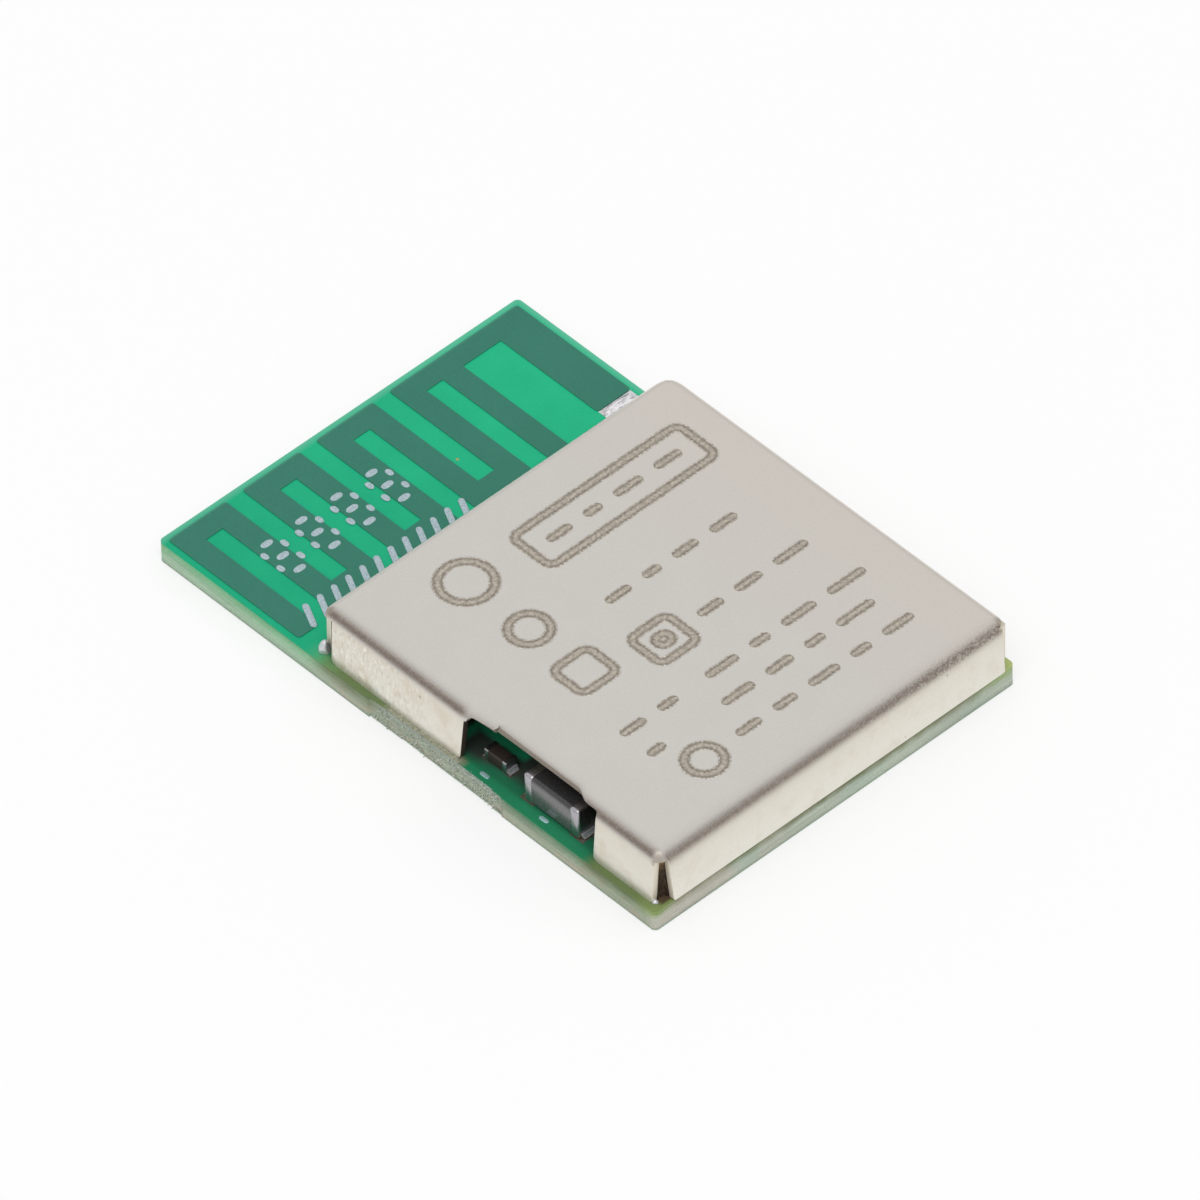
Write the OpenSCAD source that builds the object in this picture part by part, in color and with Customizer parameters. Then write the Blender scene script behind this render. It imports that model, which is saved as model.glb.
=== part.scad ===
// A short-range radio module: a small circuit board with a printed meander aerial at
// one end and a folded metal shield over the radio at the other.
// Millimetres, +Z up. The origin is the middle of the board's underside, +Y points
// along the board to the aerial end and +X runs across it.

/* [Board] */
// Width of the board, across X
board_w = 10.2; // [10.2:0.1:14]
// Length of the board, along Y
board_l = 15; // [14.8:0.1:20]
// Thickness of the glass-fibre laminate
laminate_t = 0.5; // [0.3:0.05:1.6]
// Corner radius of the board
board_corner_r = 0.12; // [0.05:0.01:0.3]
// Thickness of the copper on the top face
copper_t = 0.02; // [0.01:0.005:0.05]
// Thickness of the solder mask on the top face
mask_t = 0.02; // [0.01:0.005:0.05]
// Depth of the rough edge where the panel tab was snapped off
tab_scar_depth = 0.06; // [0.03:0.01:0.1]
// Length of the longest stretch of that edge
tab_scar_l = 2.1; // [1:0.1:3]

/* [Aerial] */
// Width of the aerial's trace
trace_w = 0.53; // [0.4:0.01:0.6]
// Gap between neighbouring legs of the aerial
trace_gap = 0.51; // [0.4:0.01:0.6]
// Gap from the shield's foot to the aerial's inner bars
aerial_shield_gap = 0.8; // [0.6:0.01:1.2]
// Width of the bars that join the legs
bar_w = 0.5; // [0.3:0.01:0.6]
// Distance from the aerial to the board's edges
aerial_edge_gap = 0.165; // [0.1:0.005:0.3]
// Width of the ground leg
ground_leg_w = 0.92; // [0.6:0.01:1.1]
// Length of the ground leg's bare end, from the shield's foot
ground_bare_l = 1.07; // [0.8:0.01:1.5]
// Corner radius of the copper
copper_corner_r = 0.08; // [0.02:0.01:0.15]

/* [Shield] */
// Width of the shield's top, across X
shield_w = 9.88; // [9:0.01:9.9]
// Length of the shield's top, along Y
shield_l = 10.15; // [9.5:0.01:10.4]
// Height of the shield above the board
shield_h = 1.35; // [1.2:0.01:1.8]
// Thickness of the shield's sheet
sheet_t = 0.14; // [0.1:0.01:0.18]
// Outer radius of the shield's bends
bend_r = 0.24; // [0.2:0.01:0.3]
// Outward lean of the walls, in degrees
wall_splay = 3.5; // [0:0.5:4]
// Gap from the foot of the end wall to the board's end
shield_end_gap = 0.02; // [0.02:0.01:0.2]
// Radius of the walls' bottom corners
foot_corner_r = 0.13; // [0.05:0.01:0.2]
// Length of the window in the side wall
window_l = 3.95; // [3:0.01:4.5]
// Distance from the shield's end to the window
window_offset = 1.88; // [1.5:0.01:2.5]
// Depth of the window's cut into the top, from the wall's outer face
window_depth = 0.25; // [0.2:0.01:0.4]
// Width of the foot's arch over the feed trace
feed_arch_w = 1.1; // [0.8:0.05:1.5]

/* [Parts] */
// Side of the radio chip's square case
chip_w = 6; // [5:0.1:6.2]
// Height of the radio chip's case
chip_h = 0.85; // [0.5:0.05:1]
// Number of terminals on each side of the radio chip
chip_pins = 12; // [8:1:14]
// Length of the chip inductor in the window
inductor_l = 1.65; // [1.4:0.05:1.8]
// Width of that inductor
inductor_w = 0.8; // [0.6:0.05:0.9]
// Height of that inductor
inductor_h = 0.8; // [0.5:0.05:0.9]
// Length of the small chip parts
chip_part_l = 0.65; // [0.55:0.05:0.7]
// Width and height of the small chip parts
chip_part_w = 0.32; // [0.28:0.01:0.36]
// Length of the main crystal
main_crystal_l = 2; // [1.6:0.1:2.2]
// Width of the main crystal
main_crystal_w = 1.5; // [1.2:0.1:1.6]
// Length of the sleep crystal
sleep_crystal_l = 2; // [1.6:0.1:2.2]
// Width of the sleep crystal
sleep_crystal_w = 1.2; // [1:0.1:1.6]
// Height of both crystals
crystal_h = 0.5; // [0.4:0.05:0.8]

/* [Underside] */
// Width of a land on the underside
land_w = 0.42; // [0.3:0.01:0.5]
// Length of a land on the underside
land_l = 0.72; // [0.5:0.01:0.9]
// Spacing of the lands
land_pitch = 0.75; // [0.7:0.01:0.9]
// Thickness of the lands and of the mask around them
land_t = 0.03; // [0.02:0.005:0.05]

/* [Hidden] */
$fn = 48;
BYPASS_COUNT = 6;
LOAD_COUNT = 4;
MATCHING_COUNT = 2;
function numbered(name, count) = [for (i = [1:count]) str(name, "_", i)];

// Heights of the board's layers: copper and parts stand on the laminate and on the mask
laminate_z = land_t;
copper_z = laminate_z + laminate_t;
top_z = copper_z + mask_t;
// Solder stops this far from the leaning foot beside it
seat_gap = 0.005;
// Cuts reach this far past the faces that they go through
cut = 0.5;
// Scar of the panel tab: its +Y end, and the start, end and share of the depth of its steps
scar_top = 1.1;
scar_steps = [
    [0, 0.95, 0.75],
    [0.95, 1.6, 1],
    [1.6, 1.6 + tab_scar_l, 0.85],
    [1.6 + tab_scar_l, 1.9 + tab_scar_l, 0.4]
];

// Aerial: the legs are numbered from the open end on the -X side
leg_count = 8;
leg_pitch = trace_w + trace_gap;
leg_left = -board_w / 2 + aerial_edge_gap;
aerial_top = board_l / 2 - aerial_edge_gap;
open_end_l = 0.22;
ground_side_gap = 0.02;
feed_reach = 0.6;
ground_right = board_w / 2 - aerial_edge_gap - ground_side_gap;
ground_left = ground_right - ground_leg_w;
// The mask covers the copper's sides by this much
mask_side = 0.02;

// Shield: its top's middle, and how far the leaning walls' feet stand out from the top
shield_shift_x = 0.06;
foot_flare = (shield_h - bend_r) * tan(wall_splay);
shield_y = -board_l / 2 + shield_end_gap + foot_flare + shield_l / 2;
shield_back = shield_y + shield_l / 2;
shield_left = shield_shift_x - shield_w / 2;
// The aerial fills the room between the shield's foot and the board's end
aerial_bottom = shield_back + foot_flare + aerial_shield_gap;
ground_bare_y = shield_back + foot_flare + ground_bare_l;
// The corners are drawn round down to this height, where the slits between the walls start.
// The slits reach further up by corner_slits, from the far corner of the aerial side round.
slit_z = shield_h - bend_r + 0.04;
corner_slits = [0, 0, 0, 0.1];
// Walls of each side, seen from outside: left and right end at the slit's height, left and
// right end at the foot, and the foot's corner radii. The sides are the end, the far side,
// the aerial side and the side with the window, which parts its wall in two.
window_left = shield_l / 2 - window_offset - window_l;
window_right = shield_l / 2 - window_offset;
side_walls = [
    [[-shield_w / 2 + 0.28, shield_w / 2 - 0.16, -shield_w / 2 + 0.31, shield_w / 2 - 0.2, 0.06, 0.06]],
    [[-shield_l / 2 + 0.08, shield_l / 2 - 0.3, -shield_l / 2 + 0.12, shield_l / 2 - 0.34, 0.06, 0.13]],
    [[-shield_w / 2 + 0.2, shield_w / 2 - 0.16, -shield_w / 2 + 0.24, shield_w / 2 - 0.2, 0.13, 0.06]],
    [
        [-shield_l / 2 + 0.34, window_left, -shield_l / 2 + 0.36, window_left - 0.08, foot_corner_r, 0.1],
        [window_right, shield_l / 2 - 0.13, window_right - 0.03, shield_l / 2 - 0.16, 0.1, 0.06]
    ]
];
// The window's cut into the top is shallower near its two ends
window_corner_r = 0.22;
window_aerial_depth = 0.16;
window_aerial_l = 0.82;
window_end_depth = 0.14;
window_end_l = 0.4;
window_ramp_l = 0.35;
feed_arch_h = 0.3;
dash_l = 0.34;
dash_w = 0.13;
dash_pitch = 1.78;
dash_inset = 0.01;
// First dash, measured from the shield's end
dash_start = 1.66;
// Solder beads: one at the corner beside the aerial's open end, one under the near slit
corner_bead_r = 0.14;
slit_bead_r = 0.07;

// Parts: clearances between them, and the solder under and beside them
part_gap = 0.14;
pad_gap = 0.05;
fillet_w = 0.12;
standoff = 0.02;
end_cap_share = 0.17;
part_edge_r = 0.03;
inductor_edge_r = 0.1;
cap_proud = 0.01;
chip_x = shield_shift_x + 0.87;
chip_y = shield_y + 0.18;
feed_x = leg_left + (leg_count - 1) * leg_pitch + trace_w / 2;
feed_end = shield_back - feed_reach;

// Underside: rows of lands along the edges, and a field of ground lands between them
land_edge_gap = 0.22;
row_gap = 0.4;
side_lands = 13;
end_lands = 8;
ground_lands = 3;
ground_land_w = 1.1;
ground_land_pitch = 1.7;
mask_clearance = 0.04;

// Points on the rounding of corner b, between the points a and c
function corner_arc(a, b, c, r, steps = 6) =
    let (
        to_a = (a - b) / norm(a - b),
        to_c = (c - b) / norm(c - b),
        half = acos(to_a * to_c) / 2,
        middle = b + (to_a + to_c) / norm(to_a + to_c) * r / sin(half),
        from = b + to_a * r / tan(half) - middle,
        to = b + to_c * r / tan(half) - middle,
        start = atan2(from[1], from[0]),
        sweep = (atan2(to[1], to[0]) - start + 540) % 360 - 180
    )
    [for (i = [0:steps]) middle + r * [cos(start + sweep * i / steps), sin(start + sweep * i / steps)]];

// Outline through the points, with each corner rounded to its own radius
function rounded(points, radii) =
    let (n = len(points))
    [for (i = [0:n - 1])
        each radii[i] == 0 ? [points[i]]
            : corner_arc(points[(i + n - 1) % n], points[i], points[(i + 1) % n], radii[i])];

// Rectangle between two corners
module area(low, high, r = 0) {
    polygon(rounded([low, [high[0], low[1]], high, [low[0], high[1]]], [r, r, r, r]));
}

// Flat layer of the outline below it, from one height to another
module layer(from_z, to_z) {
    translate([0, 0, from_z])
        linear_extrude(to_z - from_z)
            children();
}

// Outline of the board, with the stepped scar of the panel tab on the -X edge
module board_outline() {
    difference() {
        area([-board_w / 2, -board_l / 2], [board_w / 2, board_l / 2], board_corner_r);
        for (s = scar_steps)
            translate([-board_w / 2 - cut, scar_top - s[1]])
                square([cut + tab_scar_depth * s[2], s[1] - s[0]]);
    }
}

module board_laminate() {
    color("darkseagreen")
        layer(laminate_z, copper_z)
            board_outline();
}

// One leg of the aerial, down to the height low
module aerial_leg(i, low, grow) {
    left = leg_left + i * leg_pitch;
    area([left - grow, low - grow], [left + trace_w + grow, aerial_top + grow], copper_corner_r);
}

// One bar of the aerial, from leg i to the line right, with its lower edge at low
module aerial_bar(i, right, low, grow) {
    area([leg_left + i * leg_pitch - grow, low - grow], [right + grow, low + bar_w + grow], copper_corner_r);
}

// Outline of the aerial's copper, widened by grow
module aerial_outline(grow = 0) {
    aerial_leg(0, aerial_bottom - open_end_l, grow);
    for (i = [1:leg_count - 2])
        aerial_leg(i, aerial_bottom, grow);
    aerial_leg(leg_count - 1, feed_end, grow);
    area([ground_left - grow, ground_bare_y], [ground_right + grow, aerial_top + grow], copper_corner_r);
    for (i = [0:2:leg_count - 3])
        aerial_bar(i, leg_left + (i + 1) * leg_pitch + trace_w, aerial_top - bar_w, grow);
    aerial_bar(leg_count - 2, ground_right, aerial_top - bar_w, grow);
    for (i = [1:2:leg_count - 3])
        aerial_bar(i, leg_left + (i + 1) * leg_pitch + trace_w, aerial_bottom, grow);
}

// Bare end of the ground leg, which runs under the shield's wall
module ground_end_outline() {
    area([ground_left, shield_back - bend_r], [ground_right, ground_bare_y]);
}

module aerial_copper() {
    color("darkgoldenrod")
        layer(copper_z, copper_z + copper_t) {
            aerial_outline();
            ground_end_outline();
        }
}

// Crowned solder on the bare end of the ground leg, up to the shield's foot
module aerial_solder() {
    low = shield_back + foot_flare + seat_gap;
    crown = 0.05;
    inset = 0.03;
    steps = 12;
    width = ground_leg_w - 2 * inset;
    crown_r = (width * width / 4 + crown * crown) / (2 * crown);
    half_arc = asin(width / 2 / crown_r);
    arc = [for (i = [0:steps]) half_arc * (1 - 2 * i / steps)];
    color("gainsboro")
        translate([(ground_left + ground_right) / 2, ground_bare_y - inset,
                   copper_z + copper_t + crown - crown_r])
            rotate([90, 0, 0])
                linear_extrude(ground_bare_y - inset - low)
                    polygon([for (a = arc) crown_r * [sin(a), cos(a)]]);
}

// Bare areas of the top mask, where pads, lands and the ground leg's end lie
module mask_openings() {
    ground_end_outline();
    shield_dash_outlines();
    component_pad_outlines();
}

module solder_mask_top() {
    color("seagreen")
        difference() {
            union() {
                layer(copper_z, top_z)
                    board_outline();
                layer(copper_z, copper_z + copper_t + mask_t)
                    aerial_outline(mask_side);
            }
            layer(copper_z - cut, copper_z + copper_t)
                aerial_outline();
            layer(copper_z - cut, top_z + cut)
                mask_openings();
        }
}

// Rows of lands on the underside, each widened by grow, and the ground lands between them
module land_outlines(grow = 0) {
    side_x = board_w / 2 - land_edge_gap - land_l / 2;
    row_step = land_l + row_gap;
    first_y = -board_l / 2 + land_edge_gap + land_l + row_gap + land_w / 2;
    middle_y = first_y + (side_lands - 1) / 2 * land_pitch;
    end_y = -board_l / 2 + land_edge_gap + land_l / 2;
    size = [land_l + 2 * grow, land_w + 2 * grow];
    for (side = [-1, 1], row = [0, 1], i = [0:side_lands - 1 - row])
        translate([side * (side_x - row * row_step), first_y + (i + row) * land_pitch])
            square(size, center = true);
    for (i = [0:end_lands - 1])
        translate([(i - (end_lands - 1) / 2) * land_pitch, end_y])
            square([size[1], size[0]], center = true);
    for (i = [0:ground_lands - 1], j = [0:ground_lands - 1])
        translate([(i - (ground_lands - 1) / 2) * ground_land_pitch,
                   middle_y + (j - (ground_lands - 1) / 2) * ground_land_pitch])
            square(ground_land_w + 2 * grow, center = true);
}

module module_lands() {
    color("gold")
        layer(0, land_t)
            land_outlines();
}

module solder_mask_bottom() {
    color("seagreen")
        layer(0, land_t)
            difference() {
                board_outline();
                land_outlines(mask_clearance);
            }
}

// Section of one fold: the bend at the top and the leaning wall below it, with the
// top's outer edge at X = 0 and the foot below Y = 0, where the side's outline trims it
module fold_section() {
    translate([bend_r, shield_h - bend_r]) {
        intersection() {
            difference() {
                circle(bend_r);
                circle(bend_r - sheet_t);
            }
            polygon([[0, 0], [0, 2 * bend_r], [-2 * bend_r, 2 * bend_r],
                     2 * bend_r * [-cos(wall_splay), sin(wall_splay)]]);
        }
        rotate(-wall_splay)
            translate([-bend_r, -shield_h])
                square([sheet_t, shield_h]);
    }
}

// Face of one side, seen from outside: the bend between the drawn corners, and its walls
module side_outline(length, walls) {
    translate([bend_r - length / 2, slit_z])
        square([length - 2 * bend_r, shield_h - slit_z + cut]);
    for (w = walls)
        polygon(rounded([[w[2], 0], [w[3], 0], [w[1], slit_z], [w[0], slit_z]], [w[4], w[5], 0, 0]));
}

// One side with its bend, on the -Y side of a shield that is depth across
module folded_side(length, depth, walls) {
    translate([0, -depth / 2, 0])
        intersection() {
            translate([-length / 2, 0, 0])
                rotate([90, 0, 90])
                    linear_extrude(length)
                        fold_section();
            translate([0, bend_r, 0])
                rotate([90, 0, 0])
                    linear_extrude(bend_r + foot_flare + cut)
                        side_outline(length, walls);
        }
}

// Corner of the top, drawn round between two bends, down to the height low
module drawn_corner(low) {
    intersection() {
        difference() {
            sphere(bend_r);
            sphere(bend_r - sheet_t);
        }
        translate([0, 0, low - shield_h + bend_r])
            cube(bend_r);
    }
}

// Cut of the window into the top, in plan
module window_cut() {
    low = shield_y - shield_l / 2 + window_offset;
    high = low + window_l;
    outside = shield_left - foot_flare - cut;
    aerial_edge = shield_left + window_aerial_depth;
    end_edge = shield_left + window_end_depth;
    edge = shield_left + window_depth;
    r = window_corner_r;
    polygon(rounded(
        [
            [outside, low], [end_edge, low], [end_edge, low + window_end_l],
            [edge, low + window_end_l + window_ramp_l], [edge, high - window_aerial_l],
            [aerial_edge, high - window_aerial_l], [aerial_edge, high], [outside, high]
        ],
        [0, r / 2, r, r, 0, 0, r, 0]
    ));
}

module shield_can() {
    color("lightgray")
        difference() {
            translate([shield_shift_x, shield_y, top_z]) {
                translate([0, 0, shield_h - sheet_t / 2])
                    cube([shield_w - 2 * bend_r, shield_l - 2 * bend_r, sheet_t], center = true);
                for (side = [0:3]) {
                    size = side % 2 == 0 ? [shield_w, shield_l] : [shield_l, shield_w];
                    rotate(90 * side)
                        folded_side(size[0], size[1], side_walls[side]);
                    rotate(90 * side)
                        translate([size[0] / 2 - bend_r, size[1] / 2 - bend_r, shield_h - bend_r])
                            drawn_corner(slit_z + corner_slits[side]);
                }
            }
            layer(top_z + slit_z, top_z + shield_h + cut)
                window_cut();
            translate([feed_x - feed_arch_w / 2, shield_back - bend_r, top_z - cut])
                cube([feed_arch_w, bend_r + foot_flare + cut, cut + feed_arch_h]);
        }
}

// Tinned dashes under the shield's walls: along both sides, and along the end
module shield_dash_outlines() {
    outer_x = shield_w / 2 + foot_flare - dash_inset;
    end_y = -shield_l / 2 - foot_flare + dash_inset;
    translate([shield_shift_x, shield_y]) {
        for (side = [-1, 1], y = [-shield_l / 2 + dash_start:dash_pitch:shield_l / 2 - dash_l])
            translate([side * (outer_x - dash_w / 2), y])
                square([dash_w, dash_l], center = true);
        for (x = [-shield_w / 2 + dash_start:dash_pitch:shield_w / 2 - dash_l])
            translate([x, end_y + dash_w / 2])
                square([dash_l, dash_w], center = true);
    }
}

module shield_lands() {
    color("silver")
        layer(copper_z, top_z)
            shield_dash_outlines();
}

// Bead of solder on the board, cut off where it meets the shield
module solder_bead(place, r, lift) {
    difference() {
        translate([place[0], place[1], top_z + lift])
            sphere(r);
        translate([place[0] - cut, place[1] - cut, top_z - 2 * cut])
            cube(2 * cut);
        shield_can();
    }
}

module shield_solder() {
    foot_left = shield_left - foot_flare;
    foot_end = shield_y - shield_l / 2 - foot_flare;
    color("whitesmoke") {
        solder_bead([foot_left + corner_bead_r, shield_back], corner_bead_r, corner_bead_r / 2);
        solder_bead([foot_left + slit_bead_r, foot_end + 2 * slit_bead_r], slit_bead_r, 0);
    }
}

// Chip parts: name, place, turn, size and shade. A size is [length, width, height, edge radius].
ferrite = "#3a3438";
ceramic = "#8a7a66";
small_part = [chip_part_l, chip_part_w, chip_part_w, part_edge_r];
inductor_size = [inductor_l, inductor_w, inductor_h, inductor_edge_r];
// The two parts in the window, measured from its middle and from the wall's outer face.
// The inductor reaches into the window's opening.
window_y = shield_y - shield_l / 2 + window_offset + window_l / 2;
inductor_y = window_y - 0.525;
inductor_inset = 0.08;
capacitor_y = window_y + 1.375;
capacitor_inset = 0.3;
chip_side_x = chip_w / 2 + part_gap + chip_part_w / 2 + pad_gap;
bypass_step = 1.2;
crystal_y = shield_y - shield_l / 2 + sheet_t + part_gap + main_crystal_w / 2;
crystal_pad_share = [0.3, 0.35];
main_crystal_x = shield_shift_x + 1.2;
sleep_crystal_x = shield_shift_x - 2.4;
load_x = part_gap + chip_part_w / 2 + pad_gap;
load_y = 0.45;
matching_step = chip_part_w + 2 * part_gap;
matching_y = feed_end - pad_gap - fillet_w - chip_part_l / 2;
chip_parts = concat(
    [["converter_inductor", [shield_left + inductor_inset + inductor_w / 2, inductor_y],
      90, inductor_size, ferrite]],
    [["converter_capacitor", [shield_left + capacitor_inset + chip_part_w / 2, capacitor_y],
      90, small_part, ceramic]],
    [for (i = [0:BYPASS_COUNT - 1])
        [str("bypass_capacitor_", i + 1),
         [chip_x + (i < 4 ? 1 : -1) * chip_side_x, chip_y + (i < 4 ? i - 1.5 : 3 * i - 13.5) * bypass_step],
         90, small_part, ceramic]],
    [for (i = [0:LOAD_COUNT - 1])
        [str("load_capacitor_", i + 1),
         [(i < 2 ? main_crystal_x + main_crystal_l / 2 : sleep_crystal_x + sleep_crystal_l / 2) + load_x,
          crystal_y + (i % 2 == 0 ? -1 : 1) * load_y],
         90, small_part, ceramic]],
    [for (i = [0:MATCHING_COUNT - 1])
        [str("matching_inductor_", i + 1), [feed_x + i * matching_step, matching_y], 90, small_part, ferrite]],
    [for (i = [0:MATCHING_COUNT - 1])
        [str("matching_capacitor_", i + 1), [feed_x - (i + 1) * matching_step, matching_y],
         90, small_part, ceramic]]
);

// Places the things below it on the mask, at the part's own place and turn
module at_part(part) {
    translate([part[1][0], part[1][1], top_z])
        rotate(part[2])
            children();
}

// Ceramic or ferrite block with plated ends that stand a little proud of it
module chip_part(part) {
    size = part[3];
    cap_l = size[0] * end_cap_share;
    color(part[4])
        at_part(part) {
            translate([-size[0] / 2 + cap_l, 0, 0])
                rotate([90, 0, 90])
                    linear_extrude(size[0] - 2 * cap_l)
                        area([cap_proud - size[1] / 2, cap_proud],
                             [size[1] / 2 - cap_proud, size[2] - cap_proud], size[3]);
            for (side = [0, 1])
                translate([side == 0 ? -size[0] / 2 : size[0] / 2 - cap_l, 0, 0])
                    rotate([90, 0, 90])
                        linear_extrude(cap_l)
                            area([-size[1] / 2, 0], [size[1] / 2, size[2]], size[3]);
        }
}

// Pads of the chip parts, the crystals and the radio chip
module component_pad_outlines() {
    for (p = chip_parts)
        translate(p[1])
            rotate(p[2])
                for (side = [-1, 1])
                    translate([side * (p[3][0] * (0.5 - end_cap_share / 2) + fillet_w / 2), 0])
                        square([p[3][0] * end_cap_share + fillet_w, p[3][1]], center = true);
    crystal_pad_outlines([main_crystal_x, crystal_y], [main_crystal_l, main_crystal_w]);
    crystal_pad_outlines([sleep_crystal_x, crystal_y], [sleep_crystal_l, sleep_crystal_w]);
    translate([chip_x, chip_y])
        chip_terminal_outlines();
}

module crystal_pad_outlines(place, size) {
    pad = [size[0] * crystal_pad_share[0], size[1] * crystal_pad_share[1]];
    for (sx = [-1, 1], sy = [-1, 1])
        translate(place + [sx * (size[0] - pad[0]) / 2, sy * (size[1] - pad[1]) / 2])
            square(pad, center = true);
}

// Terminals along the four sides of the radio chip, and the paddle in the middle
module chip_terminal_outlines() {
    terminal = [0.2, 0.4];
    pitch = 0.4;
    paddle_gap = 0.3;
    paddle_w = chip_w - 2 * terminal[1] - 2 * paddle_gap;
    square(paddle_w, center = true);
    for (side = [0:3], i = [0:chip_pins - 1])
        rotate(90 * side)
            translate([(i - (chip_pins - 1) / 2) * pitch, -chip_w / 2 + terminal[1] / 2])
                square(terminal, center = true);
}

module component_pads() {
    color("silver")
        layer(copper_z, top_z)
            component_pad_outlines();
}

// Hollow solder fillets that climb from the pads up the plated ends
module component_solder() {
    color("whitesmoke")
        for (p = chip_parts)
            at_part(p)
                for (side = [0, 180])
                    rotate(side)
                        translate([p[3][0] / 2, p[3][1] / 2 - p[3][3], 0])
                            rotate([90, 0, 0])
                                linear_extrude(p[3][1] - 2 * p[3][3])
                                    difference() {
                                        translate([0, part_edge_r])
                                            square(fillet_w - part_edge_r);
                                        translate([fillet_w, fillet_w])
                                            circle(fillet_w - part_edge_r);
                                    }
}

module radio_chip() {
    edge = 0.05;
    color("#26262a")
        translate([chip_x, chip_y, 0])
            layer(top_z + standoff, top_z + chip_h)
                area([-chip_w / 2, -chip_w / 2], [chip_w / 2, chip_w / 2], edge);
}

module radio_chip_terminals() {
    color("silver")
        translate([chip_x, chip_y, 0])
            layer(top_z, top_z + standoff)
                chip_terminal_outlines();
}

// Ceramic base of a crystal, with a shallow step round the lid's seat
crystal_base_h = 0.28;
lid_inset = 0.1;

module crystal_base(place, size) {
    r = 0.12;
    color("#3b3430")
        translate([place[0], place[1], 0])
            layer(top_z, top_z + crystal_base_h)
                area(-size / 2, size / 2, r);
}

module crystal_lid(place, size) {
    r = 0.15;
    inset = [lid_inset, lid_inset];
    color("lightgray")
        translate([place[0], place[1], 0])
            layer(top_z + crystal_base_h, top_z + crystal_h)
                area(inset - size / 2, size / 2 - inset, r);
}

module main_crystal_base() {
    crystal_base([main_crystal_x, crystal_y], [main_crystal_l, main_crystal_w]);
}

module main_crystal_lid() {
    crystal_lid([main_crystal_x, crystal_y], [main_crystal_l, main_crystal_w]);
}

module sleep_crystal_base() {
    crystal_base([sleep_crystal_x, crystal_y], [sleep_crystal_l, sleep_crystal_w]);
}

module sleep_crystal_lid() {
    crystal_lid([sleep_crystal_x, crystal_y], [sleep_crystal_l, sleep_crystal_w]);
}

board_laminate();
solder_mask_top();
solder_mask_bottom();
module_lands();
aerial_copper();
aerial_solder();
shield_lands();
shield_can();
shield_solder();
component_pads();
component_solder();
radio_chip();
radio_chip_terminals();
main_crystal_base();
main_crystal_lid();
sleep_crystal_base();
sleep_crystal_lid();
for (part = chip_parts)
    chip_part(part);
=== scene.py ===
# A short-range radio module: a glass-fibre board with a printed aerial at one end and a
# folded metal shield over the radio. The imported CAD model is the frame. Sizes are in
# millimetres, and each mesh is scaled to metres once, when it becomes an object.
import math

import bmesh
import bpy
from mathutils import Matrix, Vector, noise


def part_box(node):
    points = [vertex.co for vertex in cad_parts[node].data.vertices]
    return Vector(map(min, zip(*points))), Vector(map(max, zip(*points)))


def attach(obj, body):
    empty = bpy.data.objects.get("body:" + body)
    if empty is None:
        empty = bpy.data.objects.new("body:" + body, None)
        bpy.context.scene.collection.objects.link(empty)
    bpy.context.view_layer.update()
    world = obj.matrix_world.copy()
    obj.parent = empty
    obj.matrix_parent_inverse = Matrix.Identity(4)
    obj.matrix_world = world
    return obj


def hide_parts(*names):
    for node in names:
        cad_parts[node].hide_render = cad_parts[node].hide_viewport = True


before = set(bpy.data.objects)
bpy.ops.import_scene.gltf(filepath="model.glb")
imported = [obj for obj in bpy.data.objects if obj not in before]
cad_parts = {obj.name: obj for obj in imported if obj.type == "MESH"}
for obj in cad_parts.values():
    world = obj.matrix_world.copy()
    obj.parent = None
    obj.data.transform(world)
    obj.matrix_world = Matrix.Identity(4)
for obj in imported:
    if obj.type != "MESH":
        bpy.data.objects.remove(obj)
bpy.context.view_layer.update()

# Board: woven glass cloth in epoxy, routed from its panel. The last tab was snapped off,
# which leaves a torn stretch along one long edge. The cut edge shows the bundles of glass.
MM = 0.001


def linear(code):
    """Shader colour of an sRGB hex code."""
    parts = [int(code[i:i + 2], 16) / 255 for i in (1, 3, 5)]
    return [c / 12.92 if c <= 0.04045 else ((c + 0.055) / 1.055) ** 2.4 for c in parts] + [1]


def add(tree, kind, inputs=None, out=0, stops=(), **settings):
    """Adds a node. Inputs are values, hex colours or the sockets that feed them."""
    prefix = "" if kind.startswith(("Geometry", "Function", "NodeGroup")) else "ShaderNode"
    made = tree.nodes.new(prefix + kind)
    if kind == "Mix":
        # every mix here is one of colours, which come out of the third socket
        made.data_type = "RGBA"
        out = 2
    for name, value in settings.items():
        setattr(made, name, value)
    for key, value in (inputs or {}).items():
        if isinstance(value, bpy.types.NodeSocket):
            tree.links.new(value, made.inputs[key])
        else:
            is_colour = isinstance(value, str) and value.startswith("#")
            made.inputs[key].default_value = linear(value) if is_colour else value
    if stops:
        ramp = made.color_ramp.elements
        for place, code in stops:
            ramp.new(place).color = linear(code)
        ramp.remove(ramp[0])
        ramp.remove(ramp[-1])
    return made.outputs[out] if len(made.outputs) else None


def start_material(name):
    """A new material, its tree, and the place on the object in millimetres."""
    made = bpy.data.materials.new(name)
    made.use_nodes = True
    tree = made.node_tree
    tree.nodes.clear()
    place = add(tree, "TexCoord", out="Object")
    return made, tree, add(tree, "VectorMath", {0: place, "Scale": 1 / MM}, operation="SCALE")


def make_object(name, bm, *materials):
    """The mesh, scaled to metres, as an object with these materials and soft shading."""
    mesh = bpy.data.meshes.new(name)
    bm.transform(Matrix.Scale(MM, 4))
    bm.to_mesh(mesh)
    bm.free()
    for m in materials:
        mesh.materials.append(m)
    mesh.shade_smooth()
    made = bpy.data.objects.new(name, mesh)
    bpy.context.scene.collection.objects.link(made)
    return made


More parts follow.
